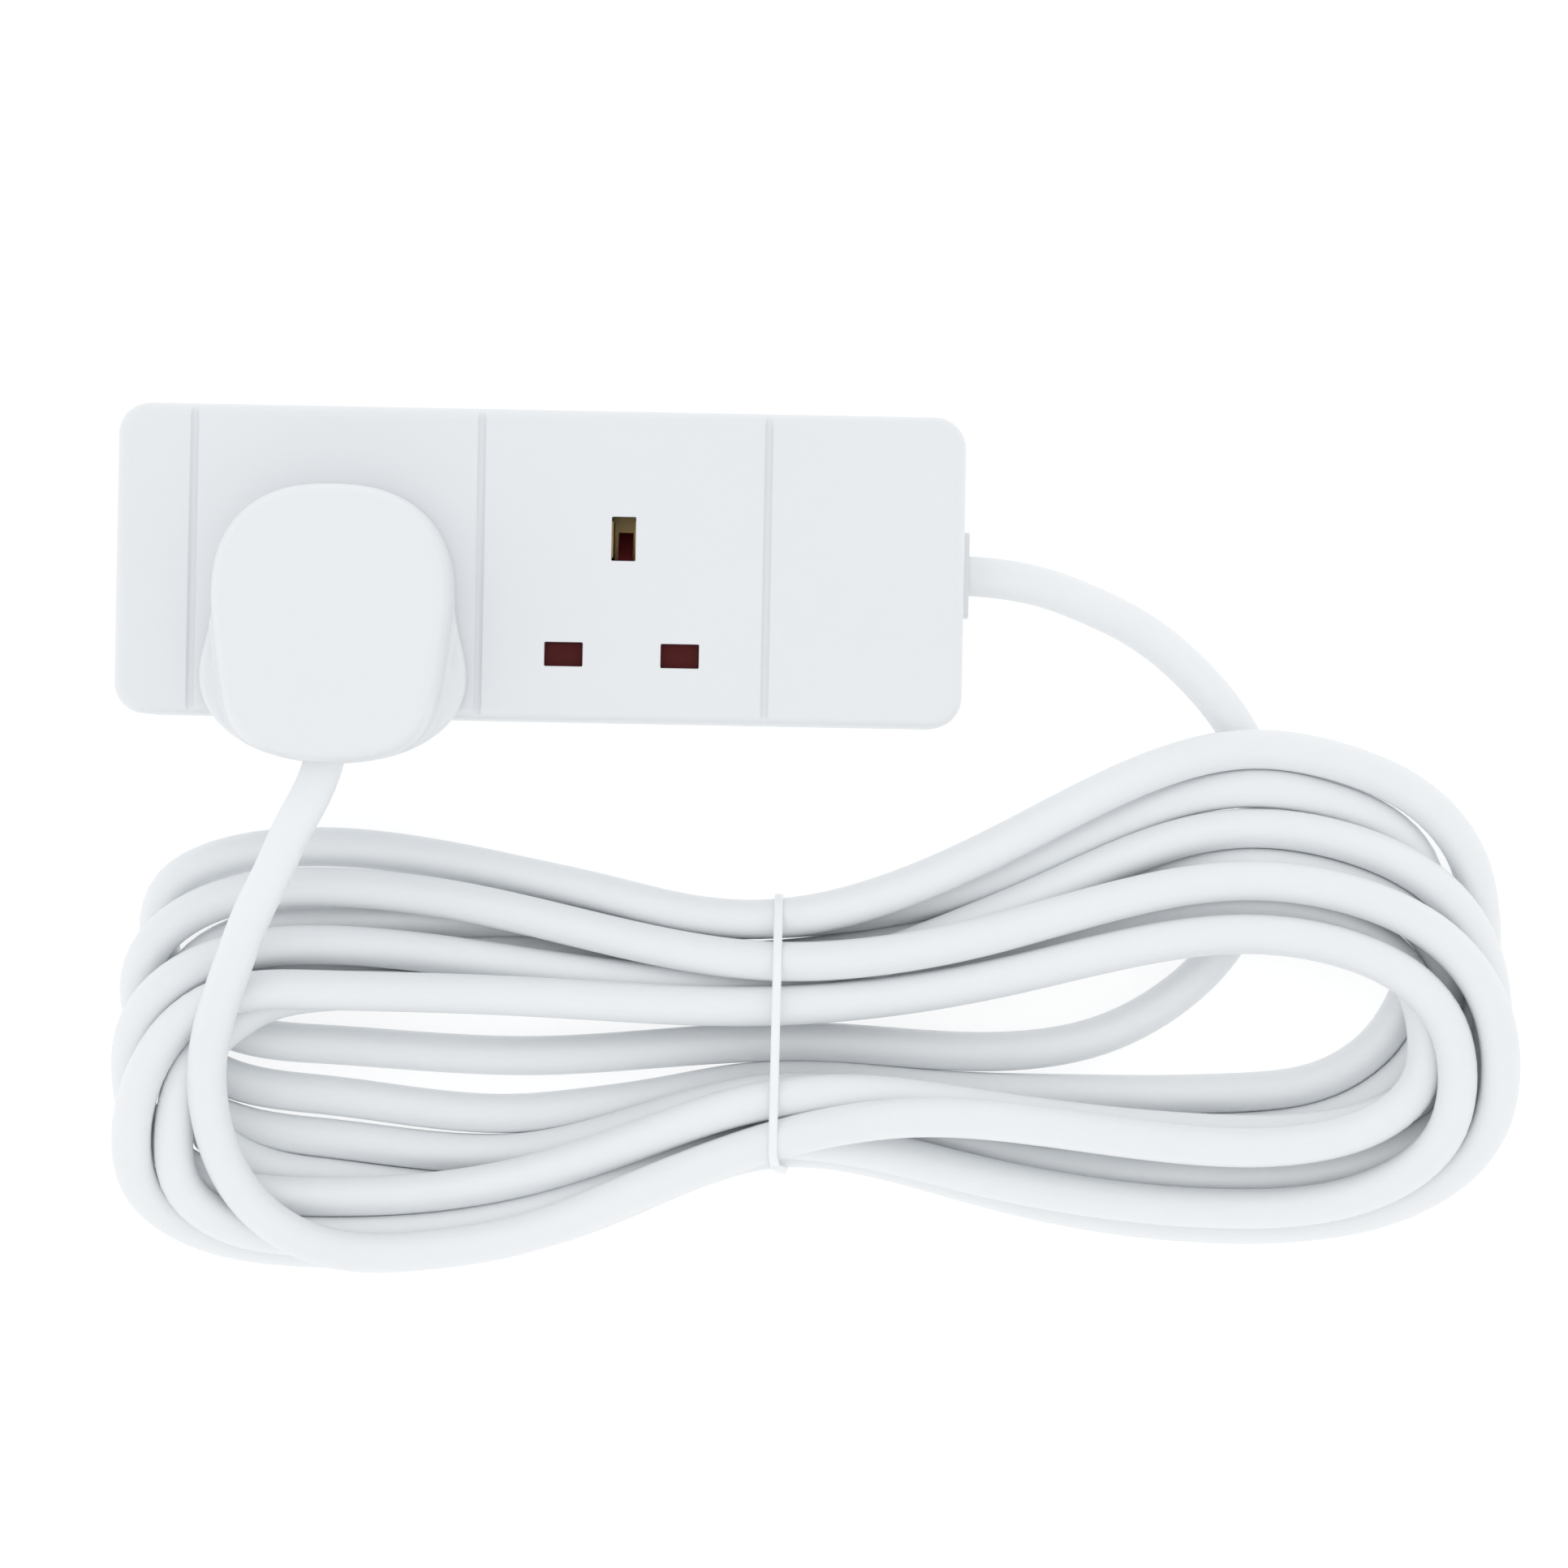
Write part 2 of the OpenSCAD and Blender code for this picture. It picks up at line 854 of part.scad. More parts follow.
module cap_shape() {
    hull() {
        translate([0, 0, face_z + 1]) linear_extrude(plug_h - face_gap - plug_edge - 1) cap_outline();
        translate([0, cap_mid_y, plug_top_z - 1]) {
            scale(cap_shrink) translate([0, -cap_mid_y, 0]) linear_extrude(1 / cap_shrink) cap_outline();
        }
    }
}

// Outline of the stiff insert and of the room over it, narrower round the earth pin
module insert_block(lo, hi) {
    box([plug_x - insert_half, insert_y[0], lo], [plug_x + insert_half, insert_y[1], hi]);
    box([plug_x - nose_half, nose_y[0], lo], [plug_x + nose_half, nose_y[1], hi]);
}

module flex_channel() {
    tube(route_in_plug, flex_d / 2 + bore_gap, flex_sides);
}

module plug_moulding() {
    color("white") {
        difference() {
            union() {
                translate([plug_x, 0, 0]) cap_shape();
                translate([plug_x, 0, face_z]) {
                    linear_extrude(flange_h) plug_outline([for (y = plug_y) flange_width(y)]);
                }
            }
            insert_block(face_z - 1, plug_insert_top_z);
            flex_channel();
        }
    }
}

// A rectangular pin from z = lo to z = hi, bevelled at its tip
module pin(w, t, lo, hi) {
    intersection() {
        rotate([90, 0, 0]) {
            translate([0, 0, -t / 2]) {
                linear_extrude(t) {
                    polygon([
                        [-w / 2, hi], [-w / 2, lo + pin_point], [-w / 2 + pin_point, lo],
                        [w / 2 - pin_point, lo], [w / 2, lo + pin_point], [w / 2, hi]
                    ]);
                }
            }
        }
        rotate([90, 0, 90]) {
            translate([0, 0, -w / 2]) {
                linear_extrude(w) {
                    polygon([
                        [-t / 2, hi], [-t / 2, lo + pin_point], [-t / 2 + pin_point, lo],
                        [t / 2 - pin_point, lo], [t / 2, lo + pin_point], [t / 2, hi]
                    ]);
                }
            }
        }
    }
}

module line_pin(s) {
    color("goldenrod") {
        translate([plug_x + s * line_x, line_y, 0]) {
            difference() {
                pin(line_pin_w, pin_t, face_z - line_pin_l, pin_top_z);
                difference() {
                    translate([0, 0, face_z - sleeve_l / 2]) {
                        cube([line_pin_w + 1, pin_t + 1, sleeve_l], center = true);
                    }
                    translate([0, 0, face_z - sleeve_l / 2]) {
                        cube([line_pin_w - 2 * sleeve_t, pin_t - 2 * sleeve_t, 2 * sleeve_l], center = true);
                    }
                }
            }
        }
    }
}

module live_pin() {
    line_pin(1);
}

module neutral_pin() {
    line_pin(-1);
}

module earth_pin() {
    color("goldenrod") {
        translate([plug_x, earth_y, 0]) pin(pin_t, earth_pin_w, face_z - earth_pin_l, pin_top_z);
    }
}

module pin_sleeves() {
    color("dimgray") {
        for (s = [-1, 1]) {
            translate([plug_x + s * line_x, line_y, face_z - sleeve_l / 2]) {
                difference() {
                    cube([line_pin_w, pin_t, sleeve_l], center = true);
                    cube([line_pin_w - 2 * sleeve_t, pin_t - 2 * sleeve_t, sleeve_l + 1], center = true);
                }
            }
        }
    }
}

module fuse_pocket(g) {
    box(
        [plug_x - fuse_tray_l / 2 - g, fuse_y - fuse_tray_w / 2 - g, face_z - eps],
        [plug_x + fuse_tray_l / 2 + g, fuse_y + fuse_tray_w / 2 + g, fuse_z + fuse_r + fit_gap]
    );
}

module pin_carrier() {
    color("whitesmoke") {
        difference() {
            insert_block(face_z, plug_room_z);
            fuse_pocket(bore_gap);
            for (s = [-1, 1]) {
                translate([plug_x + s * line_x, line_y, face_z]) {
                    cube([line_pin_w, pin_t, 4 * carrier_h], center = true);
                }
            }
            translate([plug_x, earth_y, face_z]) cube([pin_t, earth_pin_w, 4 * carrier_h], center = true);
            flex_channel();
        }
    }
}

module fuse_carrier() {
    color("whitesmoke") {
        difference() {
            box(
                [plug_x - fuse_tray_l / 2, fuse_y - fuse_tray_w / 2, face_z],
                [plug_x + fuse_tray_l / 2, fuse_y + fuse_tray_w / 2, fuse_z]
            );
            bar_x(
                fuse_room_r,
                plug_x - fuse_l / 2 - fuse_end_gap,
                plug_x + fuse_l / 2 + fuse_end_gap,
                fuse_y,
                fuse_z
            );
            box(
                [plug_x + pry_x[0], fuse_y - pry_half, face_z - 1],
                [plug_x + pry_x[1], fuse_y + pry_half, face_z + 1]
            );
        }
        for (s = [-1, 1]) {
            box(
                [plug_x + s * rib_x - rib_half_t, fuse_y - rib_half_w, face_z + tray_floor],
                [plug_x + s * rib_x + rib_half_t, fuse_y + rib_half_w, fuse_z - fuse_r]
            );
        }
    }
}

module barrel_bar() {
    bar_x(
        fuse_r - fuse_cap_t,
        plug_x - fuse_l / 2 + barrel_inset,
        plug_x + fuse_l / 2 - barrel_inset,
        fuse_y,
        fuse_z
    );
}

module fuse_barrel() {
    color("ivory") barrel_bar();
}

module fuse_caps() {
    color("silver") {
        for (s = [-1, 1]) {
            x0 = s < 0 ? plug_x - fuse_l / 2 : plug_x + fuse_l / 2 - fuse_cap_l;
            difference() {
                bar_x(fuse_r, x0, x0 + fuse_cap_l, fuse_y, fuse_z);
                barrel_bar();
            }
        }
    }
}

module fuse_clips() {
    color("goldenrod") {
        for (s = [-1, 1]) {
            mid = plug_x + s * (fuse_l / 2 - fuse_cap_l / 2);
            cut = clip_half_l + 1;
            difference() {
                bar_x(fuse_r + clip_t, mid - clip_half_l, mid + clip_half_l, fuse_y, fuse_z);
                bar_x(fuse_r + fit_gap, mid - cut, mid + cut, fuse_y, fuse_z);
                box(
                    [mid - cut, fuse_y - 2 * fuse_r, fuse_z - 2 * fuse_r],
                    [mid + cut, fuse_y + 2 * fuse_r, fuse_z]
                );
            }
        }
    }
}

// Bent strip from the right-hand clip to the live pin's top
module fuse_link() {
    x = plug_x + line_x;
    top = fuse_z + fuse_r + clip_t;
    color("goldenrod") {
        box([x - link_half, line_y - link_half, pin_top_z], [x + link_half, line_y + link_half, top]);
        box([x - link_half, line_y - link_half, top], [x + link_half, fuse_y + link_half, top + link_t]);
    }
}

// A crimp block whose lower face is centred at the given point
module crimp(x, y, z) {
    box([plug_x + x - crimp_half, y - crimp_half, z], [plug_x + x + crimp_half, y + crimp_half, z + crimp_h]);
}

module core_crimps() {
    color("silver") {
        crimp(-line_x, line_y, pin_top_z);
        crimp(0, earth_y, pin_top_z);
        crimp(crimp_x, fuse_y, fuse_z + fuse_r + clip_t);
    }
}

module plug_core_brown() {
    color("saddlebrown") {
        tube(
            [
                [plug_x - 1, -24.9, 48.2], [plug_x - 1, -24.1, 48.2], [plug_x - 3, -20.5, 49.6],
                [plug_x - 6, -16.5, 50.6], [plug_x - 8.8, -12.5, 49.8], [plug_x - 9.7, -9.2, 48.5],
                [plug_x - 9.7, -8.5, 48.4]
            ],
            core_r,
            core_sides
        );
    }
}

module plug_core_blue() {
    color("royalblue") {
        tube(
            [
                [plug_x - 1.7, -24.9, 45], [plug_x - 1.7, -24.1, 45], [plug_x - 3.6, -21.5, 45.6],
                [plug_x - 6, -18.3, 46.6], [plug_x - 8.2, -17, 46.8], [plug_x - 9.1, -16.9, 46.8]
            ],
            core_r,
            core_sides
        );
    }
}

module plug_core_green_yellow() {
    color("yellowgreen") {
        tube(
            [
                [plug_x + 1.8, -24.9, 45.6], [plug_x + 1.8, -24.1, 45.6], [plug_x + 3.2, -19.5, 47],
                [plug_x + 4.6, -13, 49.5], [plug_x + 4.6, -6, 50.4], [plug_x + 3, -0.6, 49.2],
                [plug_x + 0.9, 2.6, 47.2], [plug_x + 0.6, 3.3, 46.8]
            ],
            core_r,
            core_sides
        );
    }
}

top_cover();
base_cover();
cover_screws();
shutter_left();
shutter_right();
shutter_spring_left();
shutter_spring_right();
contact_carrier();
live_busbar();
neutral_busbar();
earth_busbar();
terminal_screws();
cord_clamp();
cord_clamp_screws();
cable_grommet();
core_brown();
core_blue();
core_green_yellow();
conductor_ends();
flex_from_block();
flex_hank();
flex_to_plug();
hank_tie();
flex_plug_end();
plug_moulding();
pin_carrier();
live_pin();
neutral_pin();
earth_pin();
pin_sleeves();
fuse_carrier();
fuse_barrel();
fuse_caps();
fuse_clips();
fuse_link();
plug_core_brown();
plug_core_blue();
plug_core_green_yellow();
core_crimps();
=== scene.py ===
import json
import math

import bmesh
import bpy
import numpy as np
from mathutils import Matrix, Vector


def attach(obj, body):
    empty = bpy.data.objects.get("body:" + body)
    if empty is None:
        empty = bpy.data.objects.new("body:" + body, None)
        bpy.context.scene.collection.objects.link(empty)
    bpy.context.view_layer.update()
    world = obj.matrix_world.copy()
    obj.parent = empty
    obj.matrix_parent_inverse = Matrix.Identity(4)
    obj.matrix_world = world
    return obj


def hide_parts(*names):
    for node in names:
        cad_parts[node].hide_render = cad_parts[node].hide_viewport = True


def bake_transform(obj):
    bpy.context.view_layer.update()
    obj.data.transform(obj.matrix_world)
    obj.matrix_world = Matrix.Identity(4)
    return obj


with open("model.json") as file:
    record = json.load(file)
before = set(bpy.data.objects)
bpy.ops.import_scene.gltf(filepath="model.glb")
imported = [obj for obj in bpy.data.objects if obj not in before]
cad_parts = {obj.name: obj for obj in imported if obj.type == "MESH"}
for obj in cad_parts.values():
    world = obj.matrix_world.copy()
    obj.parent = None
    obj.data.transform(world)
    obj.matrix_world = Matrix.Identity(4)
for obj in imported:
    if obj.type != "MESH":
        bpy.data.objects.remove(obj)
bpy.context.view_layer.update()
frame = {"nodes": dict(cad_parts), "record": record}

MM = 0.001
NODES = frame["nodes"]

# ---------- sizes that several pieces share, in millimetres ----------

BLOCK_L, BLOCK_W, BLOCK_H = 162.0, 59.5, 37.0
CORNER_R = 6.0
WALL = 2.4
SEAM_Z = 14.0
SEAM_BEVEL = 0.35
GANG_X = (-38.9, 15.9)
FLEX_D = 7.7

# Edges that bend by more than this many degrees stay sharp or get a bevel
CREASE = 38.0


# ---------- materials ----------

# Scales per metre of the slow drift and of the patches, and their shares in the colour
DRIFT_SCALE, PATCH_SCALE = 28.0, 260.0
DRIFT_SHARE, PATCH_SHARE = 0.65, 0.35
# The part of the noise over which the colour runs from its darkest to its lightest
DARKEST_AT, LIGHTEST_AT = 0.3, 0.7
COAT_ROUGH = 0.12


def link(tree, a, b):
    tree.links.new(a, b)


def math_node(tree, op, a, b):
    n = tree.nodes.new("ShaderNodeMath")
    n.operation = op
    for k, v in enumerate((a, b)):
        if isinstance(v, (int, float)):
            n.inputs[k].default_value = v
        else:
            link(tree, v, n.inputs[k])
    return n.outputs[0]


def noise_node(tree, at, scale, detail, stretch):
    """Noise at a scale per metre."""
    m = tree.nodes.new("ShaderNodeMapping")
    m.inputs["Scale"].default_value = stretch
    link(tree, at, m.inputs["Vector"])
    n = tree.nodes.new("ShaderNodeTexNoise")
    n.inputs["Scale"].default_value = scale
    n.inputs["Detail"].default_value = detail
    link(tree, m.outputs[0], n.inputs["Vector"])
    return n.outputs["Fac"]


def ramp(tree, fac, lo, hi, a, b):
    """A colour from a to b as fac goes from lo to hi."""
    r = tree.nodes.new("ShaderNodeValToRGB")
    r.color_ramp.elements[0].position = lo
    r.color_ramp.elements[1].position = hi
    r.color_ramp.elements[0].color = (*a, 1)
    r.color_ramp.elements[1].color = (*b, 1)
    link(tree, fac, r.inputs[0])
    return r.outputs[0]


def shade(c, k):
    return tuple(min(1.0, x * k) for x in c)


def finish(name, colour, rough, drift, rough_drift, grain, grain_mm,
           wave=0.0, wave_mm=0.0, metal=0.0, coat=0.0, stretch=(1, 1, 1), specular=0.5):
    """A moulded, drawn or plated surface.

    The colour drifts slowly, the gloss varies, and there is a fine grain and, if wave_mm is
    given, a slow waviness. grain and wave are scales per metre.
    """
    m = bpy.data.materials.new(name)
    m.use_nodes = True
    t = m.node_tree
    t.nodes.clear()
    out = t.nodes.new("ShaderNodeOutputMaterial")
    p = t.nodes.new("ShaderNodeBsdfPrincipled")
    link(t, p.outputs[0], out.inputs[0])
    at = t.nodes.new("ShaderNodeTexCoord").outputs["Object"]
    slow = noise_node(t, at, DRIFT_SCALE, 2.0, stretch)
    patches = noise_node(t, at, PATCH_SCALE, 4.0, stretch)
    fine = noise_node(t, at, grain, 2.0, stretch)
    both = math_node(t, "ADD", math_node(t, "MULTIPLY", slow, DRIFT_SHARE),
                     math_node(t, "MULTIPLY", patches, PATCH_SHARE))
    dark, light = shade(colour, 1 - drift), shade(colour, 1 + drift * 0.5)
    link(t, ramp(t, both, DARKEST_AT, LIGHTEST_AT, dark, light), p.inputs["Base Color"])
    r = math_node(t, "ADD", math_node(t, "MULTIPLY", patches, rough_drift * 2), rough - rough_drift)
    link(t, r, p.inputs["Roughness"])
    b = t.nodes.new("ShaderNodeBump")
    b.inputs["Strength"].default_value = 1.0
    b.inputs["Distance"].default_value = 1.0
    height = math_node(t, "MULTIPLY", fine, grain_mm * MM)
    if wave_mm:
        w = noise_node(t, at, wave, 1.0, stretch)
        height = math_node(t, "ADD", height, math_node(t, "MULTIPLY", w, wave_mm * MM))
    link(t, height, b.inputs["Height"])
    link(t, b.outputs[0], p.inputs["Normal"])
    p.inputs["Metallic"].default_value = metal
    p.inputs["Coat Weight"].default_value = coat
    p.inputs["Coat Roughness"].default_value = COAT_ROUGH
    p.inputs["Specular IOR Level"].default_value = specular
    p.inputs["IOR"].default_value = 1.5
    return m


# Each is the colour, the roughness, the drift of each, the grain's scale and its height in
# millimetres and, where there are waves, their scale and height; then what else differs
FINISHES = {
    "block_white": (((0.78, 0.805, 0.83), 0.33, 0.008, 0.03, 900, 0.002, 45, 0.02), {}),
    "base_white": (((0.745, 0.77, 0.79), 0.42, 0.02, 0.06, 2000, 0.02), {}),
    "plug_white": (((0.79, 0.815, 0.835), 0.34, 0.008, 0.03, 900, 0.002, 60, 0.02), {}),
    "flex_white": (((0.83, 0.852, 0.87), 0.36, 0.02, 0.05, 1500, 0.006, 120, 0.03), {}),
    "tie_white": (((0.88, 0.9, 0.915), 0.36, 0.03, 0.05, 1500, 0.01), {}),
    "shutter_red": (((0.09, 0.0085, 0.0085), 0.5, 0.12, 0.08, 1800, 0.01), {"specular": 0.15}),
    "inner_white": (((0.78, 0.78, 0.75), 0.45, 0.03, 0.08, 1600, 0.02), {}),
    "brass": (((0.78, 0.6, 0.32), 0.38, 0.1, 0.08, 1500, 0.01), {"metal": 1.0, "stretch": (1, 1, 0.15)}),
    "copper": (((0.72, 0.4, 0.25), 0.4, 0.12, 0.1, 2500, 0.05), {"metal": 1.0}),
    "steel": (((0.6, 0.6, 0.62), 0.38, 0.08, 0.08, 1600, 0.01), {"metal": 1.0, "stretch": (0.2, 1, 1)}),
    "sleeve_black": (((0.04, 0.04, 0.042), 0.38, 0.15, 0.08, 1800, 0.015), {}),
    "core_brown": (((0.22, 0.09, 0.04), 0.4, 0.08, 0.08, 1800, 0.015), {}),
    "core_blue": (((0.04, 0.18, 0.6), 0.4, 0.08, 0.08, 1800, 0.015), {}),
    "core_green_yellow": (((0.45, 0.62, 0.08), 0.4, 0.2, 0.08, 1800, 0.015), {}),
    "fuse_ceramic": (((0.85, 0.8, 0.7), 0.22, 0.04, 0.06, 1500, 0.01), {"coat": 0.4}),
}
LOOKS = {name: finish(name, *values, **more) for name, (values, more) in FINISHES.items()}

for part in frame["record"]["subparts"]:
    cad = NODES[part["node"]]
    cad.data.materials.clear()
    cad.data.materials.append(LOOKS[part["material_slot"]])


# ---------- mesh helpers ----------

def ring(bm, points, z):
    return [bm.verts.new((x * MM, y * MM, z * MM)) for x, y in points]


def bridge(bm, a, b):
    n = len(a)
    for k in range(n):
        bm.faces.new((a[k], a[(k + 1) % n], b[(k + 1) % n], b[k]))


def loft(bm, rings):
    for a, b in zip(rings, rings[1:]):
        bridge(bm, a, b)
    return rings


def fill(bm, rings):
    """A flat face bounded by the first ring, with the others as holes in it."""
    edges = []
    for r in rings:
        for k, v in enumerate(r):
            w = r[(k + 1) % len(r)]
            edges.append(bm.edges.get((v, w)) or bm.edges.new((v, w)))
    bmesh.ops.triangle_fill(bm, use_beauty=True, use_dissolve=False, edges=edges)


def angles(n):
    """n equal steps round a circle."""
    return [2 * math.pi * k / n for k in range(n)]


def circle(cx, cy, r, steps=40):
    return [(cx + r * math.cos(a), cy + r * math.sin(a)) for a in angles(steps)]


def rounded(cx, cy, half_l, half_w, r, steps=8):
    """Points round a rectangle with rounded corners, anticlockwise from its right side."""
    points = []
    for q, (sx, sy) in enumerate(((1, 1), (-1, 1), (-1, -1), (1, -1))):
        mx, my = cx + sx * (half_l - r), cy + sy * (half_w - r)
        for k in range(steps + 1):
            a = math.pi / 2 * (q + k / steps)
            points.append((mx + r * math.cos(a), my + r * math.sin(a)))
    return points


def block_outline(d):
    """The block's outline moved inwards by d."""
    return rounded(0, 0, BLOCK_L / 2 - d, BLOCK_W / 2 - d, CORNER_R - d)


def piece(name, bm, look, body):
    """The finished mesh as an object that rides on a body, if one is given."""
    bmesh.ops.recalc_face_normals(bm, faces=bm.faces)
    mesh = bpy.data.meshes.new(name)
    bm.to_mesh(mesh)
    bm.free()
    mesh.polygons.foreach_set("use_smooth", [True] * len(mesh.polygons))
    mesh.set_sharp_from_angle(angle=math.radians(CREASE))
    obj = bpy.data.objects.new(name, mesh)
    bpy.context.scene.collection.objects.link(obj)
    mesh.materials.append(LOOKS[look])
    normals = obj.modifiers.new("normals", "WEIGHTED_NORMAL")
    normals.keep_sharp = True
    if body:
        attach(obj, body)
    return obj


# ---------- the cord's route ----------

# X of the stations along the two long runs of a turn, from right to left
RUN_X = (135, 90, 45, 0, -40)
# A turn goes left along its lower run, round its left end, right along its upper run and round
# its right end. Each is (lower Y, lower Z, left end, upper Y, upper Z, right end), the upper run
# from left to right.
TURNS = (
    ((None, -92.2, -91.4, -94.6, -93), (0, 3.9, 3.9, 3.9, 3.9), (-73.6, -69.5, 4),
     (-54.9, -60.9, -67.1, -51.5, -32.6), (4, 5, 13, 17, 14), (182.6, -66, 5)),
    ((-106.5, -103.5, -102, -118, -122.3), (11, 17, 21, 12, 11), (-75.8, -101, 13),
     (-74, -77.5, -79.2, -64.5, -47.9), (11, 11, 10.5, 9, 10), (184, -82, 11)),
    ((-115, -110, -105.2, -119.6, -119.4), (9, 9, 9, 4, 4), (-67, -101, 10),
     (-77.3, -75.3, -75.2, -66, -55.5), (4, 4, 4, 4, 5), (178, -84, 5)),
    ((-107.5, -106, -101, -114.2, -112), (4, 8, 14, 4, 4), (-71.5, -89, 12),
     (-69.6, -67.8, -67.2, -58.6, -40.3), (4, 4, 4, 8, 5), (173.8, -64, 4)),
    ((-100, -101, -99, -106.6, -103.8), (4, 4, 4, 4, 4), (-75.5, -84.5, 9),
     (-62.7, -67.8, -75.1, -68.4, -57.9), (9, 12, 17, 17, 17), (186.6, -94, 16)),
    ((-124.6, -118.5, -111.3, -128, -132.5), (4, 4, 4, 4, 4), (-77, -113, 18),
     (-83.2, -83, -83.7, -77.4, -68.2), (18, 17.5, 17, 18, 20), (178.3, -96, 20)),
    ((-121.6, -117, -109.8, -124.3, -129.5), (12, 11, 15, 11, 9), (-69, -112, 12),
     (-81.8, -82, -83, -73, -62.5), (10, 4, 4, 9, 11), (173.2, -89, 12)),
)
# From the clamp in the block to the first turn, and from the last turn up into the plug
LEAD_OUT = (
    (65.5, 0, 14), (74, 0, 14), (82, 0, 14), (90, -0.6, 13.4), (98, -2.2, 11.5), (106, -5, 8.4),
    (114, -8.6, 5.5), (120.5, -12.8, 4.2), (126.5, -18, 4), (132, -24, 4), (137, -32, 4),
    (139.6, -44, 3.9), (138.6, -57, 3.9), (133.6, -70, 3.9), (124, -80.5, 3.9), (110, -88.5, 3.9),
)
LEAD_IN = (
    (135, -109.2, 19), (90, -104.7, 23), (66, -104.6, 23), (45, -110, 21), (20, -120, 19),
    (0, -128.2, 17), (-20, -132.2, 16.5), (-36, -132.6, 17), (-49, -128, 18), (-57.5, -119, 19.5),
    (-61.8, -108, 21.5), (-62.8, -97, 24), (-61, -88, 26), (-58.8, -81, 27.8),
    (-56.5, -74.5, 30.3), (-53.5, -67, 33.6), (-50, -60, 37.3), (-46.8, -53, 41.5),
    (-43.2, -46.2, 45), (-41.02, -41.6, 46), (-40.57, -40.1, 46), (-40.3, -39.2, 46),
    (-39.4, -35.5, 46), (-39, -31, 46), (-38.9, -27, 46), (-38.9, -25, 46),
)
# Lengths at the start and the end of the cord that keep to the points above
KEPT_START, KEPT_END = 95.0, 75.0
# Distances between points of the line that settles and of the line that the tube follows
STEP, TUBE_STEP = 4.0, 2.5
TUBE_SIDES = 20
# The ends of a turn: angles of their points, and the curve's power (1 is an ellipse, less squarer)
END_ANGLES = (24, 47, 69)
SQUARENESS = 0.86
# A spline: its knots are spaced by the steps' lengths to this power, and it is drawn from this
# many points for each knot
KNOT_POWER, DRAWN = 0.9, 40
# Settling: its rounds, the rounds from one search for close pairs to the next, how much more than
# one diameter apart such a pair may be, and how many points along the line don't make a pair
ROUNDS, SEARCH_EVERY, SEARCH_GAP, NEIGHBOURS = 300, 10, 4, 6
# How far the line sinks in a round, and the share of its height above home that it keeps
SINK, HEIGHT_KEPT = 0.02, 0.995
# The share of a sideways move that a round takes back: everywhere, and more round the waist
HOLD, WAIST_HOLD, WAIST_X, WAIST_REACH = 0.03, 0.1, 45, 28
# Passes that smooth the moves in a round, the same in the last rounds, and their strength
SMOOTHINGS, LAST_SMOOTHINGS, LAST_ROUNDS, SMOOTH_BY = 6, 2, 20, 0.25
# Bends of a smaller radius are eased by a share of their sag over this many points each way
TIGHT, EASE, EASE_SPAN = 12.5, 0.08, 3


def distances(points, power=1):
    """How far along the line each point is, with every step's length to a power."""
    steps = np.linalg.norm(np.diff(points, axis=0), axis=1) ** power
    return np.concatenate([[0], np.cumsum(steps)])


def resampled(points, at, run):
    return np.stack([np.interp(at, run, points[:, k]) for k in range(points.shape[1])], axis=1)


def round_end(a, tip, b):
    """Seven points round an end: the tip, and three each side on a quarter of a squarish ellipse."""
    sides = []
    for p in (a, b):
        sides.append([])
        for t in map(math.radians, END_ANGLES):
            along, across = math.sin(t) ** SQUARENESS, math.cos(t) ** SQUARENESS
            sides[-1].append((
                p[0] + (tip[0] - p[0]) * along,
                tip[1] + (p[1] - tip[1]) * across,
                p[2] + (tip[2] - p[2]) * t / (math.pi / 2),
            ))
    return sides[0] + [tip] + sides[1][::-1]


def route_points():
    points = list(LEAD_OUT)
    for k, (low_y, low_z, left, top_y, top_z, right) in enumerate(TURNS):
        low = [p for p in zip(RUN_X, low_y, low_z) if p[1] is not None]
        top = list(zip(RUN_X[::-1], top_y, top_z))
        if k + 1 < len(TURNS):
            after = (RUN_X[0], TURNS[k + 1][0][0], TURNS[k + 1][1][0])
        else:
            after = LEAD_IN[0]
        points += low + round_end(low[-1], left, top[0]) + top + round_end(top[-1], right, after)
    return np.array(points + list(LEAD_IN), float)


def smooth_curve(points, step):
    """A natural cubic spline through the points, as points a step apart."""
    run = distances(points, KNOT_POWER)
    n = len(points)
    h = np.diff(run)
    a = np.eye(n)
    r = np.zeros((n, 3))
    for i in range(1, n - 1):
        a[i, i - 1:i + 2] = h[i - 1], 2 * (h[i - 1] + h[i]), h[i]
        r[i] = 6 * ((points[i + 1] - points[i]) / h[i] - (points[i] - points[i - 1]) / h[i - 1])
    bend = np.linalg.solve(a, r)
    t = np.linspace(0, run[-1], n * DRAWN)
    i = np.clip(np.searchsorted(run, t, side="right") - 1, 0, n - 2)
    u = ((run[i + 1] - t) / h[i])[:, None]
    v = ((t - run[i]) / h[i])[:, None]
    hh = (h[i] ** 2)[:, None] / 6
    curve = u * points[i] + v * points[i + 1] + ((u ** 3 - u) * bend[i] + (v ** 3 - v) * bend[i + 1]) * hh
    run = distances(curve)
    return resampled(curve, np.linspace(0, run[-1], int(round(run[-1] / step)) + 1), run)


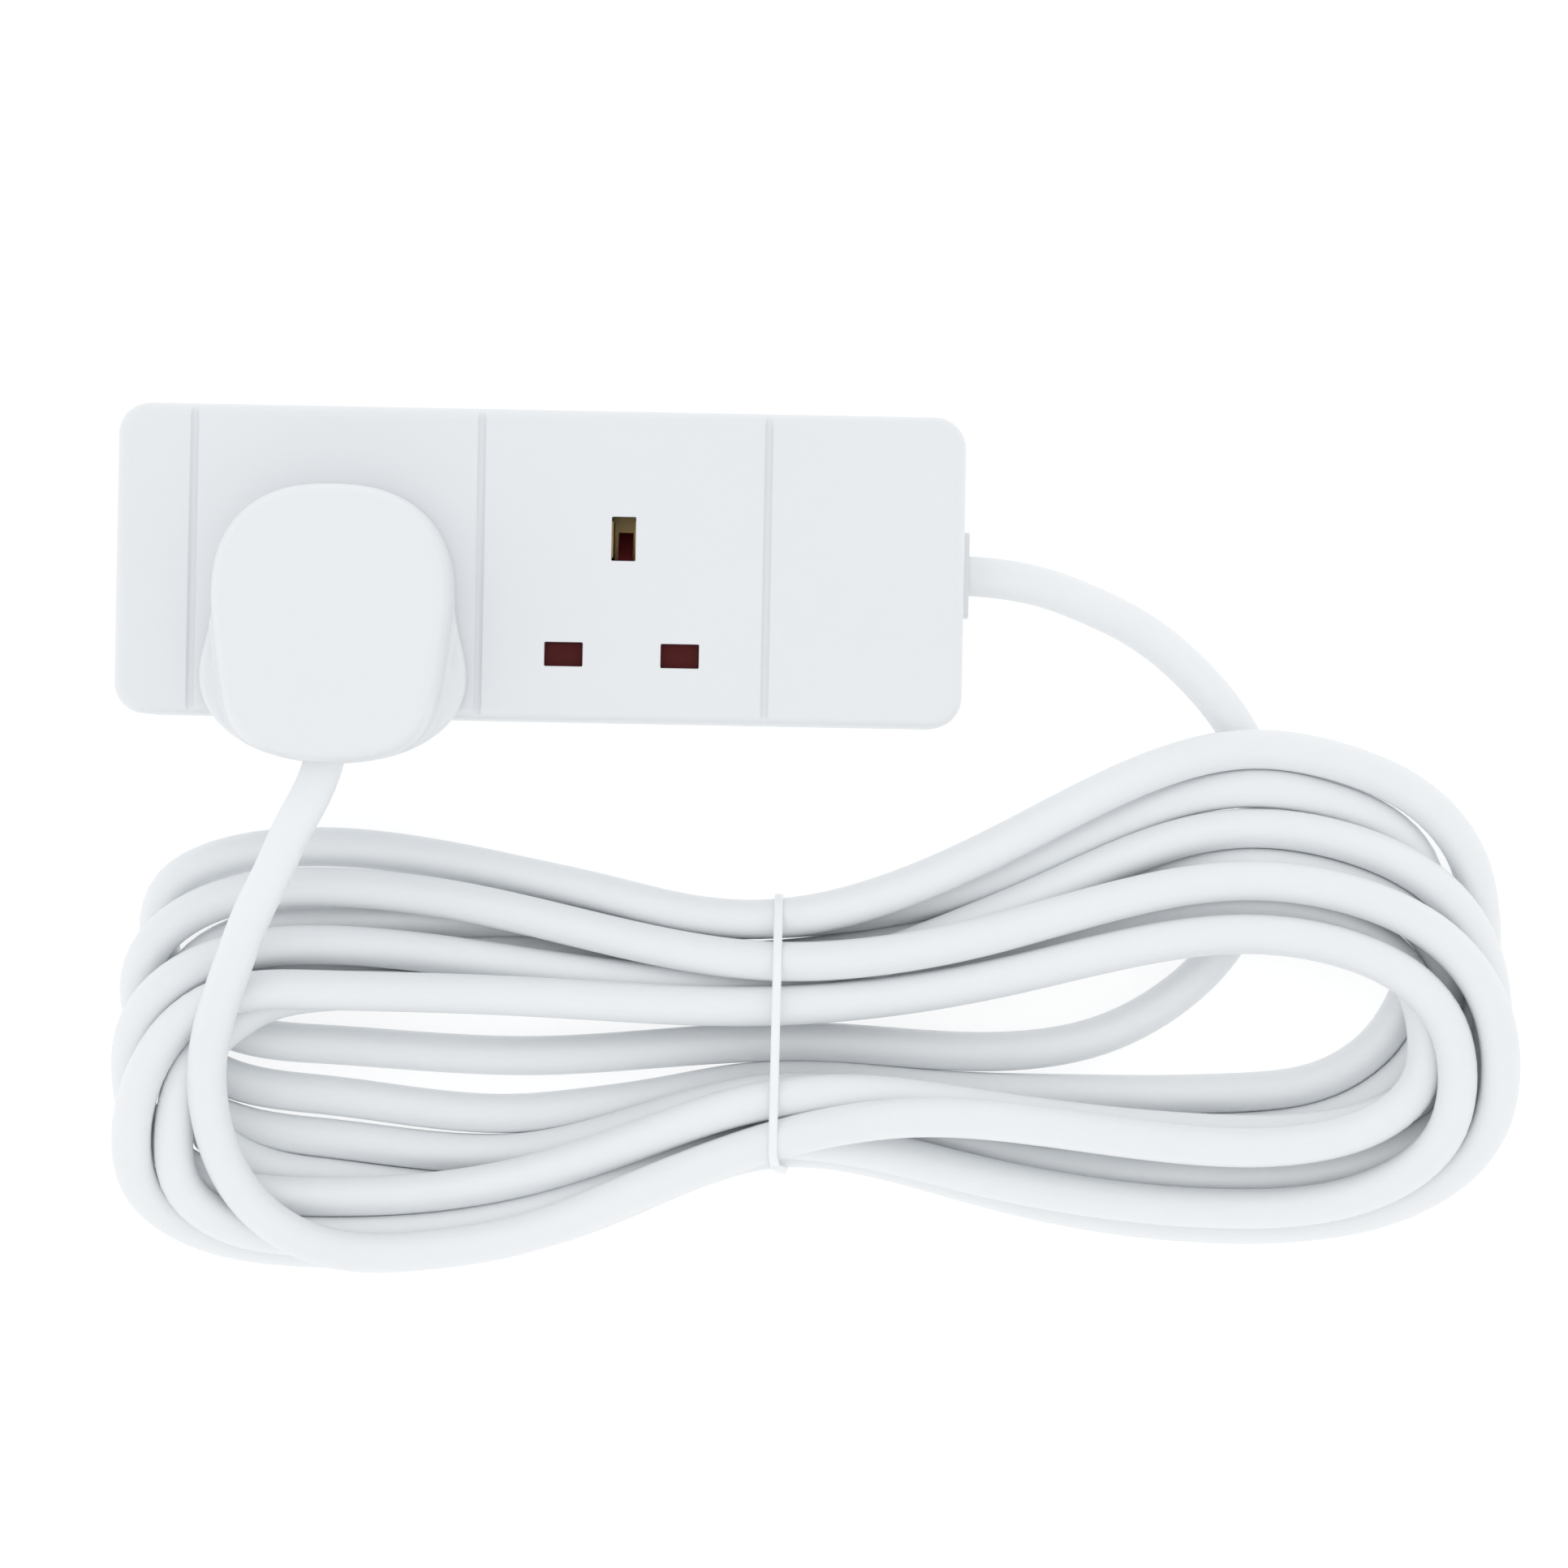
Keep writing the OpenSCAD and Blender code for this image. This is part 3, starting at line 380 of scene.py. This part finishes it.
def settle(line, free):
    """Pushes the runs apart to one diameter, lets them sink on each other, and keeps the line smooth."""
    home = line.copy()
    free = free.astype(float)[:, None]
    hold = HOLD + WAIST_HOLD * np.exp(-((home[:, :1] - WAIST_X) / WAIST_REACH) ** 2)
    for r in range(ROUNDS):
        if r % SEARCH_EVERY == 0:
            flat = ((line[:, None, :2] - line[None, :, :2]) ** 2).sum(2)
            i, j = np.nonzero(np.triu(flat < (FLEX_D + SEARCH_GAP) ** 2, NEIGHBOURS))
        line[:, 2:] -= SINK * free
        apart = line[i] - line[j]
        gap = np.linalg.norm(apart, axis=1) + 1e-9
        push = np.maximum(0, FLEX_D - gap) / 2
        move = apart / gap[:, None] * push[:, None]
        total, count = np.zeros_like(line), np.zeros(len(line))
        np.add.at(total, i, move)
        np.add.at(total, j, -move)
        np.add.at(count, i[push > 0], 1)
        np.add.at(count, j[push > 0], 1)
        line = line + total / np.sqrt(np.maximum(count, 1))[:, None] * free
        off = line - home
        off[:, :2] *= 1 - hold
        off[:, 2:] *= HEIGHT_KEPT
        for _ in range(SMOOTHINGS if r < ROUNDS - LAST_ROUNDS else LAST_SMOOTHINGS):
            off[1:-1] += SMOOTH_BY * (off[2:] - 2 * off[1:-1] + off[:-2])
        line = home + off * free
        line[:, 2] = np.where(free[:, 0] > 0, np.maximum(line[:, 2], FLEX_D / 2), line[:, 2])
        if r > ROUNDS // 2:
            line = ease_bends(line, free)
    return line


def ease_bends(line, free):
    """Moves points towards their neighbours' middle where the line bends tighter than TIGHT."""
    k = EASE_SPAN
    a, b, c = line[:-2 * k], line[k:-k], line[2 * k:]
    chord = np.linalg.norm(c - a, axis=1)
    sag = np.linalg.norm((a + c) / 2 - b, axis=1)
    radius = chord ** 2 / (8 * sag + 1e-9)
    pull = np.clip((TIGHT - radius) / TIGHT, 0, 1)[:, None] * EASE * free[k:-k]
    line[k:-k] += pull * ((a + c) / 2 - b)
    return line


def cord_line():
    line = smooth_curve(route_points(), STEP)
    run = distances(line)
    return settle(line, (run > KEPT_START) & (run < run[-1] - KEPT_END))


def tube(bm, line, radius, sides):
    """A round tube along a line, its rings carried along without twist."""
    ahead = np.gradient(line, axis=0)
    ahead /= np.linalg.norm(ahead, axis=1)[:, None]
    side = np.cross(ahead[0], (0, 0, 1.0))
    rings = []
    for k, p in enumerate(line):
        side = side - ahead[k] * side.dot(ahead[k])
        side /= np.linalg.norm(side)
        up = np.cross(side, ahead[k])
        rings.append([
            bm.verts.new((p + radius * (math.cos(a) * side + math.sin(a) * up)) * MM)
            for a in angles(sides)
        ])
    loft(bm, rings)
    bm.faces.new(rings[0][::-1])
    bm.faces.new(rings[-1])


FINE = smooth_curve(cord_line(), TUBE_STEP)
bm = bmesh.new()
tube(bm, FINE, FLEX_D / 2, TUBE_SIDES)
cord = piece("mains_flex", bm, "flex_white", None)
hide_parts("flex_from_block", "flex_hank", "flex_to_plug", "flex_plug_end")
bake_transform(cord)


# ---------- the tie ----------

TIE_X = 46.7
TIE_W, TIE_T = 1.7, 0.8
# The cord's points within this X distance of the tie and below this Y are in its grip
TIE_REACH, TIE_BELOW_Y = 2.5, -50
TIE_SIDES, GRIP_SIDES = 160, 48
# Its X: the start at the side nearest the block, the lean from there, and a hook in the last part
TIE_START, TIE_LEAN, TIE_HOOK, HOOK_PART = 0.1, 0.3, 1.6, 0.1
# The strip's cross-section, in halves of its width and thickness
STRIP = ((1, 0.4), (0.72, 1), (-0.72, 1), (-1, 0.4), (-1, -0.4), (-0.72, -1), (0.72, -1), (1, -0.4))
# The tail below the hook: its start, its step, its points, its width and the way its width faces
TAIL_START, TAIL_STEP, TAIL_POINTS = np.array((-0.2, -0.2, 0)), np.array((0.4, -0.14, -0.1)), 7
TAIL_W, TAIL_ACROSS = TIE_W * 0.8, np.array((0.3, 1.0, 0.2))


def hull(points):
    """The corners of the convex outline round the points, anticlockwise."""
    points = sorted(map(tuple, points))
    halves = []
    for order in (points, points[::-1]):
        half = []
        for p in order:
            while len(half) > 1 and (
                (half[-1][0] - half[-2][0]) * (p[1] - half[-2][1])
                - (half[-1][1] - half[-2][1]) * (p[0] - half[-2][0])
            ) <= 0:
                half.pop()
            half.append(p)
        halves.append(half[:-1])
    return halves[0] + halves[1]


def tie_path():
    """The tie's middle line, round the bundle where it holds it."""
    near = FINE[(abs(FINE[:, 0] - TIE_X) < TIE_REACH) & (FINE[:, 1] < TIE_BELOW_Y)]
    around = [q for p in near for q in circle(p[1], p[2], FLEX_D / 2 + TIE_T / 2, GRIP_SIDES)]
    loop = np.array([(y, max(z, TIE_T / 2)) for y, z in hull(around)])
    loop = np.vstack([loop, loop[:1]])
    run = distances(loop)
    loop = resampled(loop, np.linspace(0, run[-1], TIE_SIDES + 1)[:-1], run)
    lean = (loop[:, 0].max() - loop[:, 0]) / np.ptp(loop[:, 0])
    hook = (np.maximum(0, lean - (1 - HOOK_PART)) / HOOK_PART) ** 2
    return np.column_stack([TIE_X + TIE_START - TIE_LEAN * lean + TIE_HOOK * hook, loop])


def strip(bm, path, across, w, t):
    """Rings of a flat strip with rounded edges along a path, its width along across."""
    ahead = np.gradient(path, axis=0)
    ahead /= np.linalg.norm(ahead, axis=1)[:, None]
    rings = []
    for k, p in enumerate(path):
        wide = across - ahead[k] * np.dot(across, ahead[k])
        wide /= np.linalg.norm(wide)
        thick = np.cross(ahead[k], wide)
        rings.append([bm.verts.new((p + wide * u * w / 2 + thick * v * t / 2) * MM) for u, v in STRIP])
    return rings


def hank_tie():
    bm = bmesh.new()
    path = tie_path()
    rings = strip(bm, np.vstack([path[-1:], path, path[:1]]), np.array((1.0, 0, 0)), TIE_W, TIE_T)
    for r in (rings[0], rings[-1]):
        bmesh.ops.delete(bm, geom=r, context="VERTS")
    rings = rings[1:-1]
    loft(bm, rings + rings[:1])
    low = path[np.argmin(path[:, 1] - 0.4 * path[:, 2])]
    tail = np.array([low + (TAIL_START + k * TAIL_STEP) for k in range(TAIL_POINTS)])
    tail[:, 2] = np.maximum(tail[:, 2], TIE_T / 2)
    ends = strip(bm, tail, TAIL_ACROSS, TAIL_W, TIE_T)
    loft(bm, ends)
    bm.faces.new(ends[0])
    bm.faces.new(ends[-1])
    return piece("hank_tie_strap", bm, "tie_white", "block")


tie = hank_tie()
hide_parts("hank_tie")


# ---------- the block's cover ----------

# The top edge: its height, how far in it reaches, and its steps
EDGE_H, EDGE_IN, EDGE_STEPS = 3.5, 2.3, 10
CORNER_STEPS = 8
# The one ring between the seam and the top edge, measured down from the top
SIDE_RING_DOWN = 14
GROOVE_X = (-66.3, -11.5, 43.3)
# Half of a cross groove's profile: distance from its middle, depth
GROOVE = ((0.9, 0), (0.74, 0.12), (0.62, 0.5), (0.36, 0.78), (0, 0.84))
LINE_SLOT, EARTH_SLOT = (7.3, 4.6), (4.6, 8.4)
LINE_X, LINE_Y, EARTH_Y = 11.1, -16.9, 5.3
SLOT_R, SLOT_STEPS = 0.25, 4
# A slot's rounded mouth: how much wider it is, depth
SLOT_MOUTH = ((0.22, 0), (0.06, 0.08), (0, 0.25))


def notches(x):
    """(x, depth) across a groove, from right to left."""
    return [(x + u, z) for u, z in GROOVE] + [(x - u, z) for u, z in GROOVE[-2::-1]]


def lid_ring(bm, d, z):
    """One ring of the cover, d inside its outline, dipping into the grooves; anticlockwise.

    It has the two arcs at the back with the grooves from right to left between them, then the
    two at the front with the grooves from left to right.
    """
    half_l, half_w = BLOCK_L / 2 - d, BLOCK_W / 2 - d
    corners = rounded(0, 0, half_l, half_w, max(CORNER_R - d, 1), CORNER_STEPS)
    arc = CORNER_STEPS + 1
    arcs = [[(x, y, 0) for x, y in corners[k:k + arc]] for k in range(0, len(corners), arc)]
    across = [p for g in GROOVE_X[::-1] for p in notches(g)]
    back = [(x, half_w, depth) for x, depth in across]
    front = [(x, -half_w, depth) for x, depth in across[::-1]]
    points = arcs[0] + back + arcs[1] + arcs[2] + front + arcs[3]
    return [bm.verts.new((x * MM, y * MM, min(z, BLOCK_H - depth) * MM)) for x, y, depth in points]


def slots(bm, x, roof_in):
    """The three slots of the socket at x; their rims on the face and their ends inside."""
    rims, ends = [], []
    for cx, cy, w, h in (
        (x - LINE_X, LINE_Y, *LINE_SLOT), (x + LINE_X, LINE_Y, *LINE_SLOT), (x, EARTH_Y, *EARTH_SLOT),
    ):
        r = loft(bm, [
            ring(bm, rounded(cx, cy, w / 2 + d, h / 2 + d, SLOT_R + d, SLOT_STEPS), z)
            for d, z in [(d, BLOCK_H - depth) for d, depth in SLOT_MOUTH] + [(0, roof_in)]
        ])
        rims.append(r[0])
        ends.append(r[-1])
    return rims, ends


def top_cover():
    bm = bmesh.new()
    outer = [
        (SEAM_BEVEL, SEAM_Z), (0.0, SEAM_Z + SEAM_BEVEL),
        (0.0, BLOCK_H - SIDE_RING_DOWN), (0.0, BLOCK_H - EDGE_H),
    ]
    for k in range(1, EDGE_STEPS + 1):
        a = math.pi / 2 * k / EDGE_STEPS
        outer.append((EDGE_IN * (1 - math.cos(a)), BLOCK_H - EDGE_H * (1 - math.sin(a))))
    shells = loft(bm, [lid_ring(bm, d, z) for d, z in outer])
    roof_in = BLOCK_H - WALL
    inner, rim = ring(bm, block_outline(WALL), roof_in), ring(bm, block_outline(WALL), SEAM_Z)
    bridge(bm, inner, rim)
    fill(bm, [rim, shells[0]])

    # The top: the grooves' floors, the two end panels, and the two socket panels with their slots
    top = shells[-1]
    arc, dip, grooves = CORNER_STEPS + 1, 2 * len(GROOVE) - 1, len(GROOVE_X)
    first_back, first_front = arc, 3 * arc + grooves * dip
    backs = [top[first_back + k * dip:first_back + (k + 1) * dip][::-1] for k in range(grooves)][::-1]
    fronts = [top[first_front + k * dip:first_front + (k + 1) * dip] for k in range(grooves)]
    for near, far in zip(fronts, backs):
        for k in range(dip - 1):
            bm.faces.new((near[k], near[k + 1], far[k + 1], far[k]))
    fill(bm, [top[first_front + grooves * dip - 1:] + top[:first_back + 1]])
    fill(bm, [top[first_back + grooves * dip - 1:first_front + 1]])
    ends = []
    for k, x in enumerate(GANG_X):
        rims, more = slots(bm, x, roof_in)
        fill(bm, [[fronts[k][-1], fronts[k + 1][0], backs[k + 1][0], backs[k][-1]]] + rims)
        ends += more
    fill(bm, [inner] + ends)
    return piece("cover_shell", bm, "block_white", "block")


cover = top_cover()
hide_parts("top_cover")


# ---------- the block's base ----------

# The rounded foot of the walls: distance inside the outline, height
FOOT = [(0.9, 0), (0.45, 0.12), (0.12, 0.45), (0, 0.9)]
POSTS = [(x, s * 21.0) for x in (-72.0, 70.0) for s in (-1, 1)]
POST_R, POST_BELOW_SEAM = 4.6, 1
COUNTERBORE_R, COUNTERBORE_H, COUNTERBORE_BEVEL = 3.4, 7.0, 0.3


def base_tray():
    bm = bmesh.new()
    outer = FOOT + [(0, SEAM_Z - SEAM_BEVEL), (SEAM_BEVEL, SEAM_Z)]
    shells = [ring(bm, block_outline(d), z) for d, z in outer]
    rim, bed = ring(bm, block_outline(WALL), SEAM_Z), ring(bm, block_outline(WALL), WALL)
    loft(bm, shells + [rim, bed])
    mouth = (COUNTERBORE_R + COUNTERBORE_BEVEL, 0)
    mouths, feet = [], []
    for x, y in POSTS:
        bore = loft(bm, [
            ring(bm, circle(x, y, r), z)
            for r, z in (mouth, (COUNTERBORE_R, COUNTERBORE_BEVEL), (COUNTERBORE_R, COUNTERBORE_H))
        ])
        bm.faces.new(bore[-1])
        post = loft(bm, [ring(bm, circle(x, y, POST_R), z) for z in (WALL, SEAM_Z - POST_BELOW_SEAM)])
        bm.faces.new(post[-1])
        mouths.append(bore[0])
        feet.append(post[0])
    fill(bm, [shells[0]] + mouths)
    fill(bm, [bed] + feet)
    return piece("base_shell", bm, "base_white", "block")


base = base_tray()
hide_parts("base_cover")


# ---------- the plug's moulding ----------

PLUG_X = GANG_X[0]
FACE_Z = 37.2
PLUG_TOP_Z = 59.0
# Half widths of the cap and of the flange's bulge, and how much narrower the cap gets downwards
CAP_HALF, CAP_TAPER, BULGE_HALF = 22.9, 4.4, 25.4
# Y where the sides begin to round towards the top, Y of the bulge, and how far each end reaches
ROUND_Y, BULGE_Y = -7.5, -22.0
TOP_REACH, BULGE_REACH = 22.0, 16.6
LOW_REACH = ROUND_Y - BULGE_Y + BULGE_REACH
# Powers of the ends' curves: 2 is an ellipse, more is squarer
TOP_POWER, BULGE_POWER, CAP_END_POWER, CAP_END_ROOT, TAPER_POWER = 2.4, 2.1, 8, 0.455, 1.3
STATIONS = 56
# How far in the cap is at its foot, at mid height and below its top edge
CAP_INSET, WALL_LEAN, TOP_LEAN = 0.1, 0.1, 0.15
# The cap's top edge: its height, how far in it reaches, and its steps
CAP_RISE, CAP_BACK, CAP_STEPS = 5.0, 3.0, 8
# The room inside for the pin carrier and the fuse carrier, from PLUG_X
ROOM = ((-17, -27), (17, -27), (17, 4), (9, 4), (9, 11.2), (-9, 11.2), (-9, 4), (-17, 4))
ROOM_H = 16


def arch(a, t, n):
    return a * max(0.0, 1 - t ** n) ** (1 / n)


def flange_width(y):
    if y >= ROUND_Y:
        return arch(CAP_HALF, (y - ROUND_Y) / TOP_REACH, TOP_POWER)
    if y >= BULGE_Y:
        t = (ROUND_Y - y) / (ROUND_Y - BULGE_Y)
        return CAP_HALF + (BULGE_HALF - CAP_HALF) * t * t * (3 - 2 * t)
    return arch(BULGE_HALF, (BULGE_Y - y) / BULGE_REACH, BULGE_POWER)


def cap_width(y):
    if y >= ROUND_Y:
        return arch(CAP_HALF, (y - ROUND_Y) / TOP_REACH, TOP_POWER)
    t = (ROUND_Y - y) / LOW_REACH
    return (CAP_HALF - CAP_TAPER * t ** TAPER_POWER) * max(0.0, 1 - t ** CAP_END_POWER) ** CAP_END_ROOT


def outline(width):
    middle, half = ROUND_Y + (TOP_REACH - LOW_REACH) / 2, (TOP_REACH + LOW_REACH) / 2
    ys = [middle - half * math.cos(math.pi * k / STATIONS) for k in range(STATIONS + 1)]
    right = [(width(y), y) for y in ys[1:-1]]
    return np.array([(0, ys[0])] + right + [(0, ys[-1])] + [(-x, y) for x, y in right[::-1]])


def inset(points, d):
    """The outline moved inwards by d."""
    along = np.roll(points, -1, axis=0) - np.roll(points, 1, axis=0)
    along /= np.linalg.norm(along, axis=1)[:, None]
    return points + np.column_stack([-along[:, 1], along[:, 0]]) * d


def toward(a, b, d):
    """Points from outline a moved up to d towards outline b."""
    gap = np.linalg.norm(b - a, axis=1)[:, None]
    return a + (b - a) * np.minimum(1, d / np.maximum(gap, 1e-6))


def plug_moulding():
    bm = bmesh.new()
    flange, cap = outline(flange_width), inset(outline(cap_width), CAP_INSET)
    # Outlines and their heights above the face: the flange, its fillet to the cap, and the cap
    levels = [
        (inset(flange, 0.7), 0), (inset(flange, 0.2), 0.2), (flange, 0.7), (flange, 4.6),
        (toward(flange, cap, 0.12), 5.4), (toward(flange, cap, 0.5), 6.1),
        (toward(flange, cap, 1.2), 6.6), (toward(flange, cap, 2.4), 6.95),
        (toward(cap, flange, 1.2), 7.3), (toward(cap, flange, 0.45), 7.8),
        (cap, 8.8), (inset(cap, WALL_LEAN), 13),
    ]
    wall_top = PLUG_TOP_Z - FACE_Z - CAP_RISE
    levels.append((inset(cap, TOP_LEAN), wall_top))
    for k in range(1, CAP_STEPS + 1):
        a = math.pi / 2 * k / CAP_STEPS
        lean = TOP_LEAN + CAP_BACK * (1 - math.cos(a))
        levels.append((inset(cap, lean), wall_top + CAP_RISE * math.sin(a)))
    rings = loft(bm, [ring(bm, [(PLUG_X + x, y) for x, y in points], FACE_Z + z) for points, z in levels])
    fill(bm, [rings[-1]])
    room = [(PLUG_X + x, y) for x, y in ROOM]
    mouth, roof = ring(bm, room, FACE_Z), ring(bm, room, FACE_Z + ROOM_H)
    bridge(bm, mouth, roof)
    fill(bm, [rings[0], mouth])
    fill(bm, [roof])
    return piece("plug_body", bm, "plug_white", "plug")


plug = plug_moulding()
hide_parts("plug_moulding")


# ---------- smooth edges on the CAD pieces that stay ----------

BEVEL_W, BEVEL_SEGMENTS = 0.15, 2

for name in ("cable_grommet", "pin_carrier", "fuse_carrier", "live_pin", "neutral_pin", "earth_pin"):
    bevel = NODES[name].modifiers.new("edges", "BEVEL")
    bevel.width = BEVEL_W * MM
    bevel.segments = BEVEL_SEGMENTS
    bevel.limit_method = "ANGLE"
    bevel.angle_limit = math.radians(CREASE)
    bevel.use_clamp_overlap = True
    normals = NODES[name].modifiers.new("normals", "WEIGHTED_NORMAL")
    normals.keep_sharp = True


# ---------- floor, light and camera, in metres ----------

FLOOR_MIDDLE, FLOOR_HALF, FLOOR_CELLS = (0.05, -0.04), 3.0, 24
FLOOR_GLOW = 0.66
AIM = (0.047, -0.041, 0.0)
LAMP_SIZE = (1.8, 1.2)
# Position and power
LAMPS = {"key_light": ((-0.3, 0.5, 1.8), 2.5), "fill_light": ((0.2, -1.0, 1.9), 1.5)}
# Strengths of the sky's light
HORIZON, OVERHEAD = 1.06, 0.89
CAMERA_AT, CAMERA_TURN, LENS, SENSOR = (0.04737, -0.04087, 1.697), 1.1, 199.8, 36.0
CLIP_START, CLIP_END = 0.1, 20.0


def add(name, data):
    obj = bpy.data.objects.new(name, data)
    bpy.context.scene.collection.objects.link(obj)
    return obj


def floor():
    bm = bmesh.new()
    steps = [FLOOR_HALF * (2 * i / FLOOR_CELLS - 1) for i in range(FLOOR_CELLS + 1)]
    grid = [[bm.verts.new((FLOOR_MIDDLE[0] + x, FLOOR_MIDDLE[1] + y, 0)) for x in steps] for y in steps]
    for a, b in zip(grid, grid[1:]):
        for i in range(FLOOR_CELLS):
            bm.faces.new((a[i], a[i + 1], b[i + 1], b[i]))
    mesh = bpy.data.meshes.new("studio_floor")
    bm.to_mesh(mesh)
    bm.free()
    mesh.materials.append(finish("floor_white", (0.42, 0.42, 0.42), 0.7, 0.004, 0.02, 300, 0.0, specular=0.2))
    glow = mesh.materials[0].node_tree.nodes["Principled BSDF"].inputs
    glow["Emission Color"].default_value = (1, 1, 1, 1)
    glow["Emission Strength"].default_value = FLOOR_GLOW
    add("studio_floor", mesh)


def lamp(name, at, power):
    data = bpy.data.lights.new(name, "AREA")
    data.shape = "RECTANGLE"
    data.size, data.size_y = LAMP_SIZE
    data.energy = power
    obj = add(name, data)
    obj.location = at
    obj.rotation_euler = (Vector(AIM) - Vector(at)).to_track_quat("-Z", "Y").to_euler()


def dome():
    """An even white sky, a little brighter at the horizon."""
    world = bpy.data.worlds.new("studio")
    bpy.context.scene.world = world
    world.use_nodes = True
    tree = world.node_tree
    split = tree.nodes.new("ShaderNodeSeparateXYZ")
    link(tree, tree.nodes.new("ShaderNodeTexCoord").outputs["Generated"], split.inputs[0])
    rise = math_node(tree, "ABSOLUTE", split.outputs["Z"], 0.0)
    strength = math_node(tree, "ADD", math_node(tree, "MULTIPLY", rise, OVERHEAD - HORIZON), HORIZON)
    background = tree.nodes["Background"].inputs
    background["Color"].default_value = (1, 1, 1, 1)
    link(tree, strength, background["Strength"])


def camera():
    data = bpy.data.cameras.new("camera")
    data.sensor_width = SENSOR
    data.lens = LENS
    data.clip_start, data.clip_end = CLIP_START, CLIP_END
    obj = add("camera", data)
    obj.location = CAMERA_AT
    obj.rotation_euler = (0, 0, math.radians(CAMERA_TURN))
    bpy.context.scene.camera = obj


floor()
for name, (at, power) in LAMPS.items():
    lamp(name, at, power)
dome()
camera()

view = bpy.context.scene.view_settings
view.view_transform = "Standard"
view.look = "None"
